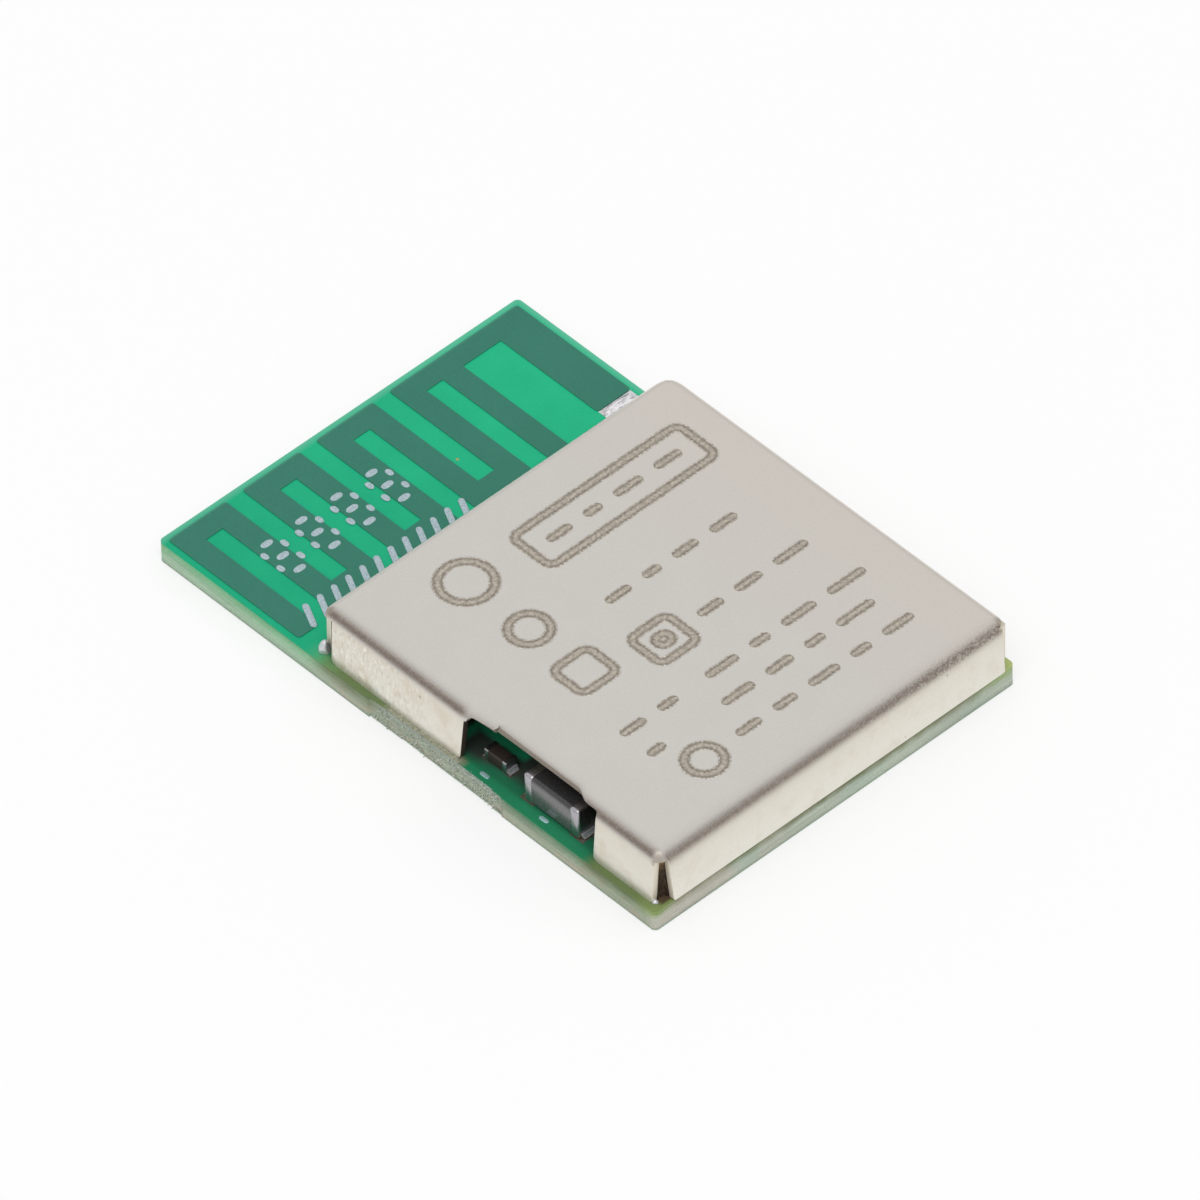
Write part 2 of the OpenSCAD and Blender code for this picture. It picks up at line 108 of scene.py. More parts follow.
def fit(piece, slot, *replaced):
    """Fixes a finished piece to the module, in the place of these nodes."""
    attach(piece, "root")
    if replaced:
        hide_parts(*replaced)


def jitter(x, y, z, grain):
    """Smooth noise from -1 to 1 with features of that size."""
    return noise.noise(Vector((x, y, z)) / grain)


BOARD_W, BOARD_L, BOARD_CORNER = 10.2, 15.0, 0.12
BOARD_LOW, BOARD_HIGH, EDGE_ROUND = 0.03, 0.53, 0.008
# stretches of the scar: from y, down to y, and how deep the tear is there
SCAR = [(1.1, 0.15, 0.045), (0.15, -0.5, 0.06), (-0.5, -2.6, 0.051), (-2.6, -2.9, 0.024)]


def torn(x, y, z):
    """How far the edge lies behind the routed outline at this place."""
    for high, low, depth in SCAR:
        if x < -5 and low <= y <= high:
            return depth + 0.014 + 0.022 * jitter(x, y, z, 0.16) + 0.012 * jitter(x, y, z, 0.05)
    return 0.003 + 0.003 * jitter(x, y, z, 0.15)


def board_outline(step=0.045):
    """Points and outward directions round the board."""
    found = []
    for turn in range(4):
        across, along = (BOARD_W, BOARD_L) if turn % 2 == 0 else (BOARD_L, BOARD_W)
        spin = Matrix.Rotation(turn * math.pi / 2, 2)
        run = across - 2 * BOARD_CORNER
        for i in range(round(run / step)):
            found.append((spin @ Vector((-run / 2 + i * step, -along / 2)), spin @ Vector((0, -1))))
        for i in range(6):
            a = math.radians(-90 + 15 * i)
            out = Vector((math.cos(a), math.sin(a)))
            centre = Vector((run / 2, BOARD_CORNER - along / 2))
            found.append((spin @ (centre + BOARD_CORNER * out), spin @ out))
    return found


bm = bmesh.new()
loops = []
for height in (BOARD_LOW, 0.045, 0.11, 0.18, 0.25, 0.32, 0.39, 0.46, 0.515, BOARD_HIGH):
    rounding = EDGE_ROUND if height in (BOARD_LOW, BOARD_HIGH) else 0
    loop = []
    for point, out in board_outline():
        p = point - out * (torn(point.x, point.y, height) + rounding)
        loop.append(bm.verts.new((p.x, p.y, height)))
    loops.append(loop)
for low, high in zip(loops, loops[1:]):
    for i in range(len(low)):
        j = (i + 1) % len(low)
        bm.faces.new((low[i], low[j], high[j], high[i]))
bm.faces.new(loops[0][::-1])
bm.faces.new(loops[-1])
bm.normal_update()
scar_bm = bm.copy()
whole = []
for f in scar_bm.faces:
    middle = f.calc_center_median()
    if f.normal.x >= -0.3 or not SCAR[-1][1] < middle.y < SCAR[0][0] - 0.7 * middle.z:
        whole.append(f)
bmesh.ops.delete(scar_bm, geom=whole, context="FACES")


def along_board(*zones):
    """Colour stops of a ramp that runs from 8 mm before the board's middle to 8 mm past it."""
    return [((y + 8) / 16, code) for y, code in zones]


# FR4 laminate: pale sage resin with tan bundles of glass in the cut edge. The upper part of the edge is
# olive beside the shield, and the torn stretch is an even grey.
laminate, tree, spot = start_material("FR4 laminate")
place = add(tree, "SeparateXYZ", {0: spot}).node.outputs
# a bundle of glass is about 0.5 mm wide and 0.2 mm thick
bundles = add(tree, "Mapping", {0: spot, "Scale": (1 / 0.5, 1 / 0.5, 1 / 0.2)})
cloth = add(tree, "TexNoise", {"Vector": bundles, "Scale": 1, "Detail": 2, "Roughness": 0.6})
fibres = add(tree, "TexNoise", {"Vector": spot, "Scale": 1 / 0.035, "Detail": 2})
patches = add(tree, "TexNoise", {"Vector": spot, "Scale": 1 / 1.4, "Detail": 2})
aerial_end = add(tree, "MapRange", {0: place[1], 1: 2.2, 2: 3.2})
tan_share = add(tree, "MapRange", {0: cloth, 1: 0.45, 2: 0.65, 4: 0.8})
resin = add(tree, "Mix", {0: tan_share, 6: "#A4AF99", 7: "#B6AD9C"})
low_tone = add(tree, "Mix", {0: aerial_end, 6: resin, 7: "#A5C0A6"})
far_end = add(tree, "MapRange", {0: place[0], 1: 3.9, 2: 4.8})
low_tone = add(tree, "Mix", {0: far_end, 6: low_tone, 7: "#B3C0A3"})
run = add(tree, "MapRange", {0: place[1], 1: -8, 2: 8})
near_tone = add(tree, "ValToRGB", {0: run}, stops=along_board(
    (-7.2, "#687852"), (-5.5, "#667650"), (-5.1, "#5F8866"), (-3.1, "#628868"), (-2.6, "#98A499"),
    (0.7, "#9BA398"), (1.1, "#6C7B56"), (2.4, "#687A52"), (3.0, "#78B486")))
far_tone = add(tree, "Mix", {0: aerial_end, 6: "#7C8C5C", 7: "#78B486"})
far_side = add(tree, "MapRange", {0: place[0], 1: -4.9, 2: -4.5})
rim_tone = add(tree, "Mix", {0: far_side, 6: near_tone, 7: far_tone})
routed = add(tree, "MapRange", {0: patches, 1: 0.4, 2: 0.52})
tan_end = add(tree, "MapRange", {0: place[0], 1: -2.8, 2: -1.2, 3: 0.85, 4: 0.25})
tan_end = add(tree, "Math", {0: tan_end, 1: routed}, operation="MULTIPLY")
end_tone = add(tree, "Mix", {0: tan_end, 6: "#717A56", 7: "#A39D8A"})
end_tone = add(tree, "Mix", {0: far_end, 6: end_tone, 7: "#98AE74"})
end_side = add(tree, "MapRange", {0: place[1], 1: -7.48, 2: -7.2, 3: 1, 4: 0})
rim_tone = add(tree, "Mix", {0: end_side, 6: rim_tone, 7: end_tone})
NEAR_CORNER = (-5.1, -7.5, 0.5)
to_corner = add(tree, "VectorMath", {0: spot, 1: NEAR_CORNER}, out="Value", operation="DISTANCE")
at_corner = add(tree, "MapRange", {0: to_corner, 1: 0.15, 2: 0.7, 3: 1, 4: 0})
rim_tone = add(tree, "Mix", {0: at_corner, 6: rim_tone, 7: "#8AA062"})
ragged = add(tree, "Math", {0: cloth, 1: 0.22, 2: place[2]}, operation="MULTIPLY_ADD")
rim_low = add(tree, "MapRange", {0: end_side, 3: 0.29, 4: 0.4})
rim_high = add(tree, "MapRange", {0: end_side, 3: 0.6, 4: 0.58})
rim_share = add(tree, "MapRange", {0: ragged, 1: rim_low, 2: rim_high})
low_end = add(tree, "Mix", {0: tan_end, 6: "#B0BEAE", 7: "#C2BDB1"})
low_tone = add(tree, "Mix", {0: end_side, 6: low_tone, 7: low_end})
edge = add(tree, "Mix", {0: rim_share, 6: low_tone, 7: rim_tone})
# layers of cloth show as lines about 0.07 mm apart
plies = add(tree, "Mapping", {0: spot, "Scale": (1 / 2.5, 1 / 2.5, 1 / 0.07)})
plies = add(tree, "TexNoise", {"Vector": plies, "Scale": 1, "Detail": 2, "Roughness": 0.6})
plies = add(tree, "MapRange", {0: plies, 1: 0.35, 2: 0.65, 3: 0.88, 4: 1.1})
speckle = add(tree, "MapRange", {0: fibres, 1: 0.3, 2: 0.75, 3: 0.88, 4: 1.1})
speckle = add(tree, "Math", {0: speckle, 1: plies}, operation="MULTIPLY")
add(tree, "OutputMaterial", {0: add(tree, "BsdfPrincipled", {
    "Base Color": add(tree, "VectorMath", {0: edge, "Scale": speckle}, operation="SCALE"),
    "Roughness": 0.65, "IOR": 1.55, "Specular IOR Level": 0.3,
    "Normal": add(tree, "Bump", {"Height": fibres, "Distance": 0.012 * MM, "Strength": 0.7})})})
board = make_object("board_edge", bm, laminate)
fit(board, "laminate", "board_laminate")

# Torn fibres: ends of glass that stand out of the scar where the tab was snapped off. They are
# drawn three times as thick as the real ones, to show at all.


def grow(name, tree, ids, bm, values):
    """Runs a Geometry Nodes tree on a mesh and returns the result as a plain mesh object."""
    seed = make_object(name + "_seed", bm)
    modifier = seed.modifiers.new("grow", "NODES")
    modifier.node_group = tree
    for key, value in values.items():
        modifier[ids[key]] = value
    evaluated = seed.evaluated_get(bpy.context.evaluated_depsgraph_get())
    grown = bpy.data.meshes.new_from_object(evaluated)
    grown.name = name
    seed.modifiers.remove(modifier)
    bpy.data.objects.remove(seed)
    made = bpy.data.objects.new(name, grown)
    bpy.context.scene.collection.objects.link(made)
    return made


def start_tree(name, sockets):
    """A new Geometry Nodes tree with named inputs, its inputs, and their identifiers."""
    tree = bpy.data.node_groups.new(name, "GeometryNodeTree")
    ids = {}
    for label, kind in sockets:
        socket = tree.interface.new_socket(label, in_out="INPUT", socket_type="NodeSocket" + kind)
        ids[label] = socket.identifier
    tree.interface.new_socket("Result", in_out="OUTPUT", socket_type="NodeSocketGeometry")
    return tree, add(tree, "NodeGroupInput").node.outputs, ids


def make_fibre_tree():
    """Short rods on a surface, leaning every way."""
    tree, given, ids = start_tree("torn_fibres", (
        ("Surface", "Geometry"), ("Fibre Length", "Float"), ("Fibre Radius", "Float"),
        ("Density", "Float"), ("Coating", "Material")))
    spread = add(tree, "GeometryNodeDistributePointsOnFaces", {
        0: given["Surface"], "Density": given["Density"], "Seed": 7}).node.outputs
    rod = add(tree, "GeometryNodeMeshCylinder", {
        "Vertices": 5, "Radius": given["Fibre Radius"], "Depth": given["Fibre Length"]})
    # a fifth of each rod stays in the board
    lift = add(tree, "Math", {0: given["Fibre Length"], 1: 0.3}, operation="MULTIPLY")
    lift = add(tree, "CombineXYZ", {2: lift})
    rod = add(tree, "GeometryNodeTransform", {0: rod, "Translation": lift})
    lean = add(tree, "FunctionNodeRandomValue", {
        "Min": (-0.9, -0.9, 0.0), "Max": (0.9, 0.9, 3.0), "Seed": 3}, data_type="FLOAT_VECTOR")
    turn = add(tree, "FunctionNodeRotateRotation", {0: spread["Rotation"], 1: lean},
               rotation_space="LOCAL")
    size = add(tree, "FunctionNodeRandomValue", {2: 0.5, 3: 1.2, "Seed": 5}, 1, data_type="FLOAT")
    rods = add(tree, "GeometryNodeInstanceOnPoints", {
        0: spread["Points"], "Instance": rod, "Rotation": turn, "Scale": size})
    made = add(tree, "GeometryNodeRealizeInstances", {0: rods})
    made = add(tree, "GeometryNodeSetMaterial", {0: made, "Material": given["Coating"]})
    add(tree, "NodeGroupOutput", {0: made})
    return tree, ids


# Broken glass fibre: dull sage and pale tan, from the resin that still clings to it
glass, tree, spot = start_material("Broken glass fibre")
cling = add(tree, "TexNoise", {"Vector": spot, "Scale": 1 / 0.12, "Detail": 2})
cling = add(tree, "MapRange", {0: cling, 1: 0.35, 2: 0.65})
add(tree, "OutputMaterial", {0: add(tree, "BsdfPrincipled", {
    "Base Color": add(tree, "Mix", {0: cling, 6: "#9EA99C", 7: "#C2C8BE"}),
    "Roughness": add(tree, "MapRange", {0: cling, 3: 0.4, 4: 0.6})})})
fibre_tree, fibre_ids = make_fibre_tree()
fibres = grow("torn_fibres", fibre_tree, fibre_ids, scar_bm, {
    "Fibre Length": 0.07 * MM, "Fibre Radius": 0.011 * MM, "Density": 190 / MM ** 2, "Coating": glass})
fit(fibres, "laminate")

# Underside: the same mask as on top, open round the lands, which are copper under nickel
# and a flash of gold. The lands lie flush with the mask and are soldered to another board.
# The mask is cut through with the board, so its edge looks as pale as the laminate.
underside_mask, tree, spot = start_material("Epoxy solder mask, underside")
height = add(tree, "SeparateXYZ", {0: spot}, out="Z")
flow = add(tree, "TexNoise", {"Vector": spot, "Scale": 1 / 0.8, "Detail": 4})
peel = add(tree, "TexNoise", {"Vector": spot, "Scale": 1 / 0.12, "Detail": 2})
face_tone = add(tree, "Mix", {0: flow, 6: "#2C8A66", 7: "#37A57B"})
cut = add(tree, "MapRange", {0: height, 1: 0.002, 2: 0.006})
add(tree, "OutputMaterial", {0: add(tree, "BsdfPrincipled", {
    "Base Color": add(tree, "Mix", {0: cut, 6: face_tone, 7: "#A3AD9C"}),
    "Roughness": add(tree, "MapRange", {0: peel, 3: 0.3, 4: 0.42}),
    "Normal": add(tree, "Bump", {"Height": peel, "Distance": 0.002 * MM, "Strength": 0.6})})})
gold, tree, spot = start_material("Gold flash on nickel")
grain = add(tree, "TexNoise", {"Vector": spot, "Scale": 1 / 0.05, "Detail": 3})
stain = add(tree, "TexNoise", {"Vector": spot, "Scale": 1 / 0.6, "Detail": 3})
add(tree, "OutputMaterial", {0: add(tree, "BsdfPrincipled", {
    "Base Color": add(tree, "Mix", {0: stain, 6: "#D9B873", 7: "#E6CB90"}),
    "Metallic": 1, "Roughness": add(tree, "MapRange", {0: grain, 3: 0.25, 4: 0.45}),
    "Normal": add(tree, "Bump", {"Height": grain, "Distance": 0.001 * MM, "Strength": 0.6})})})


def coat(coating, *names):
    """Gives CAD nodes their material."""
    for name in names:
        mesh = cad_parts[name].data
        mesh.materials.clear()
        mesh.materials.append(coating)


coat(underside_mask, "solder_mask_bottom")
coat(gold, "module_lands")

# Top face: the aerial's copper under a coat of green mask. Only the copper's grounded end is
# bare, and that end is tinned.


def grained(name, size, dark, pale, smooth, rough, metallic=0, detail=3, bump=None):
    """A material whose colour and roughness follow grains of this size in millimetres. A bump
    is the grains' depth in millimetres and its strength."""
    made, tree, spot = start_material(name)
    grains = add(tree, "TexNoise", {"Vector": spot, "Scale": 1 / size, "Detail": detail})
    finish = {
        "Base Color": add(tree, "Mix", {0: grains, 6: dark, 7: pale}),
        "Metallic": metallic, "Roughness": add(tree, "MapRange", {0: grains, 3: smooth, 4: rough})}
    if bump:
        depth, strength = bump
        finish["Normal"] = add(tree, "Bump", {
            "Height": grains, "Distance": depth * MM, "Strength": strength})
    add(tree, "OutputMaterial", {0: add(tree, "BsdfPrincipled", finish)})
    return made


# Tin on copper foil: pale grey, clouded by tarnish
foil = grained("Tinned copper foil", 0.12, "#B9B6B0", "#DAD8D6", 0.3, 0.5, metallic=0.8, detail=4)
coat(foil, "aerial_copper")

# Solder mask: over bare board the light goes through it to the pale laminate and comes back bright, and
# over copper it doesn't. Beside the shield it is painted olive, as the shield's shade and reflection on
# it, where the tab was torn off it has come away in fibres, and under the shield it is painted dark, as
# shade.
mask, tree, spot = start_material("Epoxy solder mask, top")
place = add(tree, "SeparateXYZ", {0: spot}).node.outputs
# print grain of about 0.05 mm, flow marks of about 1 mm, torn fibres of about 0.07 mm
grain = add(tree, "TexNoise", {"Vector": spot, "Scale": 1 / 0.05, "Detail": 2, "Roughness": 0.7})
flow = add(tree, "TexNoise", {"Vector": spot, "Scale": 1 / 1.1, "Detail": 3})
fibres = add(tree, "TexNoise", {"Vector": spot, "Scale": 1 / 0.07, "Detail": 3, "Roughness": 0.65})
raised = add(tree, "MapRange", {0: place[2], 1: 0.553, 2: 0.567})
# the bright mask is painted lighter toward +x, as the light falls across the board, and varies with
# flow marks
light_falloff_and_flow = add(tree, "MapRange", {0: place[0], 1: -6, 2: 5, 3: -0.35, 4: 0.5})
light_falloff_and_flow = add(tree, "Math", {0: light_falloff_and_flow, 1: flow}, operation="ADD")
bright = add(tree, "Mix", {0: light_falloff_and_flow, 6: "#10A175", 7: "#20B685"})
dull = add(tree, "Mix", {0: flow, 6: "#347563", 7: "#3B7C6A"})
green = add(tree, "Mix", {0: raised, 6: bright, 7: dull})
# the step at the copper's edge is painted dark, as its shade
step = add(tree, "Math", {0: raised, 1: 0.5}, operation="PINGPONG")
step = add(tree, "MapRange", {0: step, 1: 0.02, 2: 0.15, 4: 0.85})
green = add(tree, "Mix", {0: step, 6: green, 7: "#1B5A46"})
# the mask thins and pales where it was cut at the board's two far edges
far_edge = add(tree, "MapRange", {0: place[0], 1: 4.92, 2: 5.08, 4: 0.6})
aerial_edge = add(tree, "MapRange", {0: place[1], 1: 7.3, 2: 7.48, 4: 0.6})
paler = add(tree, "Math", {0: far_edge, 1: aerial_edge}, operation="MAXIMUM")
green = add(tree, "Mix", {0: paler, 6: green, 7: "#74BDA4"})
CAN_MIDDLE = 0.06
side = add(tree, "Math", {0: place[0], 1: CAN_MIDDLE}, operation="SUBTRACT")
side = add(tree, "Math", {0: side}, operation="ABSOLUTE")
# beside the shield's walls the mask is painted olive and yellowish, as the walls' shade and reflection,
# and stays green where the window leaves a gap
beside = add(tree, "MapRange", {0: side, 1: 4.8, 2: 4.86})
at_end = add(tree, "MapRange", {0: place[1], 1: -7.36, 2: -7.3, 3: 1, 4: 0})
strip = add(tree, "Math", {0: beside, 1: at_end}, operation="MAXIMUM")
run = add(tree, "MapRange", {0: place[1], 1: -8, 2: 8})
near_tone = add(tree, "ValToRGB", {0: run}, stops=along_board(
    (-7.45, "#7F9159"), (-6.9, "#68794B"), (-5.6, "#64764A"), (-5.3, "#26845B"), (-1.75, "#26845B"),
    (-1.5, "#64744A"), (2.0, "#687C50"), (2.4, "#6A905C"), (2.75, "#56A873"), (3.1, "#45AA79")))
far_tone = add(tree, "MapRange", {0: place[1], 1: 2.2, 2: 2.9})
far_tone = add(tree, "Mix", {0: far_tone, 6: "#B1BF7C", 7: "#1DB282"})
far_side = add(tree, "MapRange", {0: place[0], 1: 2.0, 2: 4.5})
foot_shade_and_fray = add(tree, "Mix", {0: far_side, 6: near_tone, 7: far_tone})
torn_low = add(tree, "MapRange", {0: place[1], 1: -1.75, 2: -1.5})
torn_high = add(tree, "MapRange", {0: place[1], 1: 0.5, 2: 0.8, 3: 1, 4: 0})
torn_side = add(tree, "MapRange", {0: place[0], 1: -4.9, 2: -4.84, 3: 1, 4: 0})
scar = add(tree, "Math", {0: torn_low, 1: torn_high}, operation="MULTIPLY")
scar = add(tree, "Math", {0: scar, 1: torn_side}, operation="MULTIPLY")
frayed = add(tree, "MapRange", {0: fibres, 1: 0.35, 2: 0.65})
frayed = add(tree, "Mix", {0: frayed, 6: "#787C63", 7: "#A9A898"})
foot_shade_and_fray = add(tree, "Mix", {0: scar, 6: foot_shade_and_fray, 7: frayed})
in_strip = add(tree, "MapRange", {0: place[1], 1: 2.6, 2: 3.1, 3: 1, 4: 0})
in_strip = add(tree, "Math", {0: strip, 1: in_strip}, operation="MULTIPLY")
shade = add(tree, "Mix", {0: in_strip, 6: green, 7: foot_shade_and_fray})
# the shield covers the mask out to the feet of its walls
covered = add(tree, "MapRange", {0: side, 1: 4.95, 2: 4.84})
for way, foot, within in ((place[1], 2.65, 2.5), (place[0], 4.75, 4.6), (place[1], -7.46, -7.4)):
    under = add(tree, "MapRange", {0: way, 1: foot, 2: within})
    covered = add(tree, "Math", {0: covered, 1: under}, operation="MULTIPLY")
# behind the window the mask is painted as shade: a dull green near the opening and dark beside the
# parts, and green again past them and where light comes in at the window's far end. In the near corner
# it is painted brown, as flux and the shade seen in the slit.
outward = add(tree, "MapRange", {0: place[1], 1: -1.7, 2: -2.3, 3: 0, 4: 0.18})
outward = add(tree, "Math", {0: side, 1: outward}, operation="ADD")
deep = add(tree, "MapRange", {0: outward, 1: 4.9, 2: 4.65})
further = add(tree, "MapRange", {0: side, 1: 4.2, 2: 4.05})
lit = add(tree, "MapRange", {0: place[1], 1: -1.25, 2: -1.05})
further = add(tree, "Math", {0: further, 1: lit}, operation="MAXIMUM")
for edge, beyond in ((-2.55, -2.4), (-0.88, -1.0)):
    shut = add(tree, "MapRange", {0: place[1], 1: edge, 2: beyond})
    further = add(tree, "Math", {0: further, 1: shut}, operation="MULTIPLY")
inner_tone = add(tree, "Mix", {0: further, 6: "#3C463E", 7: "#2BA476"})
in_corner = add(tree, "MapRange", {0: place[1], 1: -6.6, 2: -6.2, 3: 1, 4: 0})
deep = add(tree, "Math", {0: deep, 1: in_corner}, operation="MAXIMUM")
inner_tone = add(tree, "Mix", {0: in_corner, 6: inner_tone, 7: "#5A4C3A"})
deep_tone = add(tree, "Mix", {0: deep, 6: "#247150", 7: inner_tone})
shade = add(tree, "Mix", {0: covered, 6: shade, 7: deep_tone})
# a pinhole in the mask shows a dot of bare copper
PINHOLE = (0.95, 4.90, 0.57)
pinhole = add(tree, "VectorMath", {0: spot, 1: PINHOLE}, out="Value", operation="DISTANCE")
pinhole = add(tree, "MapRange", {0: pinhole, 1: 0.025, 2: 0.05, 3: 1, 4: 0})
holed = add(tree, "Mix", {0: pinhole, 6: shade, 7: "#B59A58"})
grain_tone = add(tree, "MapRange", {0: grain, 1: 0.25, 2: 0.75, 3: 0.94, 4: 1.06})
rough = add(tree, "Math", {0: scar, 1: fibres, 2: grain}, operation="MULTIPLY_ADD")
add(tree, "OutputMaterial", {0: add(tree, "BsdfPrincipled", {
    "Base Color": add(tree, "VectorMath", {0: holed, "Scale": grain_tone}, operation="SCALE"),
    "Roughness": add(tree, "MapRange", {0: grain, 3: 0.42, 4: 0.55}), "Specular IOR Level": 0.15,
    "Normal": add(tree, "Bump", {"Height": rough, "Distance": 0.002 * MM, "Strength": 0.5})})})
coat(mask, "solder_mask_top")

# Printed marks: rounded dabs of white epoxy ink, screened on the mask. Four plain digits
# with every segment printed, and a row of slanted strokes beside the shield.


def make_stroke_tree():
    """Rounded strokes along paths: flat lenses that narrow over a set length at their ends."""
    tree, given, ids = start_tree("rounded_strokes", (
        ("Paths", "Geometry"), ("Stroke Width", "Float"), ("Stroke Height", "Float"),
        ("End Length", "Float"), ("Corner Radius", "Float"), ("Coating", "Material")))
    half = add(tree, "Math", {0: given["Stroke Width"], 1: 0.5}, operation="MULTIPLY")
    lines = add(tree, "GeometryNodeMeshToCurve", {0: given["Paths"]})
    bent = add(tree, "GeometryNodeFilletCurve", {
        0: lines, "Count": 6, "Radius": given["Corner Radius"], "Limit Radius": True}, mode="POLY")
    step = add(tree, "Math", {0: half, 1: 0.22}, operation="MULTIPLY")
    fine = add(tree, "GeometryNodeResampleCurve", {0: bent, "Length": step}, mode="LENGTH")
    flat = add(tree, "GeometryNodeSetCurveNormal", {0: fine}, mode="Z_UP")
    # the width falls to nothing at an end along a quarter of an ellipse
    run = add(tree, "GeometryNodeSplineParameter", out="Length")
    left = add(tree, "Math", {0: add(tree, "GeometryNodeSplineLength"), 1: run}, operation="SUBTRACT")
    to_end = add(tree, "Math", {0: run, 1: left}, operation="MINIMUM")
    done = add(tree, "Math", {0: to_end, 1: given["End Length"]}, operation="DIVIDE", use_clamp=True)
    short = add(tree, "Math", {0: 1.0, 1: done}, operation="SUBTRACT")
    square = add(tree, "Math", {0: short, 1: short}, operation="MULTIPLY")
    rest = add(tree, "Math", {0: 1.0, 1: square}, operation="SUBTRACT")
    rest = add(tree, "Math", {0: rest, 1: 1e-4}, operation="MAXIMUM")
    ellipse = add(tree, "Math", {0: add(tree, "Math", {0: rest}, operation="SQRT"), 1: half},
                  operation="MULTIPLY")
    closed = add(tree, "GeometryNodeInputSplineCyclic")
    size = add(tree, "GeometryNodeSwitch", {0: closed, 1: ellipse, 2: half}, input_type="FLOAT")
    ring = add(tree, "GeometryNodeCurvePrimitiveCircle", {"Resolution": 16, "Radius": 1.0})
    ratio = add(tree, "Math", {0: given["Stroke Height"], 1: half}, operation="DIVIDE")
    flatten = add(tree, "CombineXYZ", {0: 1.0, 1: ratio, 2: 1.0})
    lens = add(tree, "GeometryNodeTransform", {0: ring, "Scale": flatten})
    sideways = add(tree, "SeparateXYZ", {0: add(tree, "GeometryNodeInputPosition")})
    across = add(tree, "Math", {0: sideways}, operation="ABSOLUTE")
    lens = add(tree, "GeometryNodeStoreNamedAttribute", {0: lens, "Name": "across", "Value": across},
               data_type="FLOAT", domain="POINT")
    made = add(tree, "GeometryNodeCurveToMesh", {0: flat, 1: lens, "Scale": size, "Fill Caps": True})
    made = add(tree, "GeometryNodeSetShadeSmooth", {0: made})
    made = add(tree, "GeometryNodeRealizeInstances", {0: made})
    made = add(tree, "GeometryNodeSetMaterial", {0: made, "Material": given["Coating"]})
    add(tree, "NodeGroupOutput", {0: made})
    return tree, ids


def paths(*lines):
    """A mesh of edges along each line, closed where a line ends where it starts."""
    bm = bmesh.new()
    for points in lines:
        closed = len(points) > 2 and points[0] == points[-1]
        verts = [bm.verts.new(p) for p in (points[:-1] if closed else points)]
        for a, b in zip(verts, verts[1:] + verts[:1] if closed else verts[1:]):
            bm.edges.new((a, b))
    return bm


# Legend ink: a thin chalky epoxy, bluish where the green shows through its pinholes
ink, tree, spot = start_material("White epoxy legend ink")
pits = add(tree, "TexNoise", {"Vector": spot, "Scale": 1 / 0.045, "Detail": 3})
wear = add(tree, "MapRange", {0: pits, 1: 0.35, 2: 0.7})
add(tree, "OutputMaterial", {0: add(tree, "BsdfPrincipled", {
    "Base Color": add(tree, "Mix", {0: wear, 6: "#98AAB2", 7: "#BAC9D0"}),
    "Roughness": 0.6, "Specular IOR Level": 0.3,
    "Normal": add(tree, "Bump", {"Height": pits, "Distance": 0.004 * MM, "Strength": 0.6})})})
stroke_tree, stroke_ids = make_stroke_tree()
INK_Z, INK_SHAKE = 0.565, 0.012
HALF_WIDE, HALF_TALL, SIDE_X = 0.165, 0.12, 0.28
STROKES, STROKE_START, STROKE_PITCH, STROKE_SLANT = 12, -4.35, 0.4, 0.16
wide, narrow, slanted = [], [], []
for digit, x in enumerate((-3.57, -2.59, -1.60, -0.61)):
    for row, y in enumerate((5.84, 5.36, 4.84)):
        shift = INK_SHAKE * jitter(digit, row, 0.3, 0.7)
        wide.append([(x - HALF_WIDE + shift, y, INK_Z), (x + HALF_WIDE + shift, y - shift, INK_Z)])
    for side in (-1, 1):
        for row, y in enumerate((5.60, 5.11)):
            shift = INK_SHAKE * jitter(digit, row, side, 0.6)
            narrow.append([(x + side * SIDE_X + shift, y - HALF_TALL, INK_Z),
                           (x + side * SIDE_X, y + HALF_TALL + shift, INK_Z)])
for i in range(STROKES):
    x = STROKE_START + STROKE_PITCH * i
    slanted.append([(x - STROKE_SLANT, 3.36, INK_Z), (x + STROKE_SLANT, 4.02, INK_Z)])
for name, lines, width, end in (("print_wide_dabs", wide, 0.175, 0.13),
                                ("print_narrow_dabs", narrow, 0.15, 0.1),
                                ("print_slanted_strokes", slanted, 0.15, 0.1)):
    dabs = grow(name, stroke_tree, stroke_ids, paths(*lines), {
        "Stroke Width": width * MM, "Stroke Height": 0.014 * MM, "End Length": end * MM,
        "Corner Radius": 0.0, "Coating": ink})
    fit(dabs, "solder_mask")

# Tinned copper and solder: the pads of the parts, the dashes under the shield's walls, and the
# fillets up the parts' ends. The aerial's grounded end carries a rough smear of solder.
# Tin solder freezes in grains, which give it a frosted silver look.
tin, tree, spot = start_material("Tin solder")
# grains of frozen solder, about 0.09 mm
grain = add(tree, "TexVoronoi", {"Vector": spot, "Scale": 1 / 0.09}, out="Distance")
cloud = add(tree, "TexNoise", {"Vector": spot, "Scale": 1 / 0.15, "Detail": 3})
add(tree, "OutputMaterial", {0: add(tree, "BsdfPrincipled", {
    "Base Color": add(tree, "Mix", {0: cloud, 6: "#C3C5CB", 7: "#EBEAED"}),
    "Metallic": 0.65, "Roughness": add(tree, "MapRange", {0: cloud, 3: 0.3, 4: 0.5}),
    "Normal": add(tree, "Bump", {"Height": grain, "Distance": 0.012 * MM, "Strength": 0.6})})})
# Tinned lands: thin smooth tin, pale, with a cool blue-green tint that is a painted reflection of the
# sky
land_tin = grained("Hot-dipped tin on lands", 0.1, "#8CBCBD", "#C3E0E2", 0.25, 0.45, metallic=0.4)
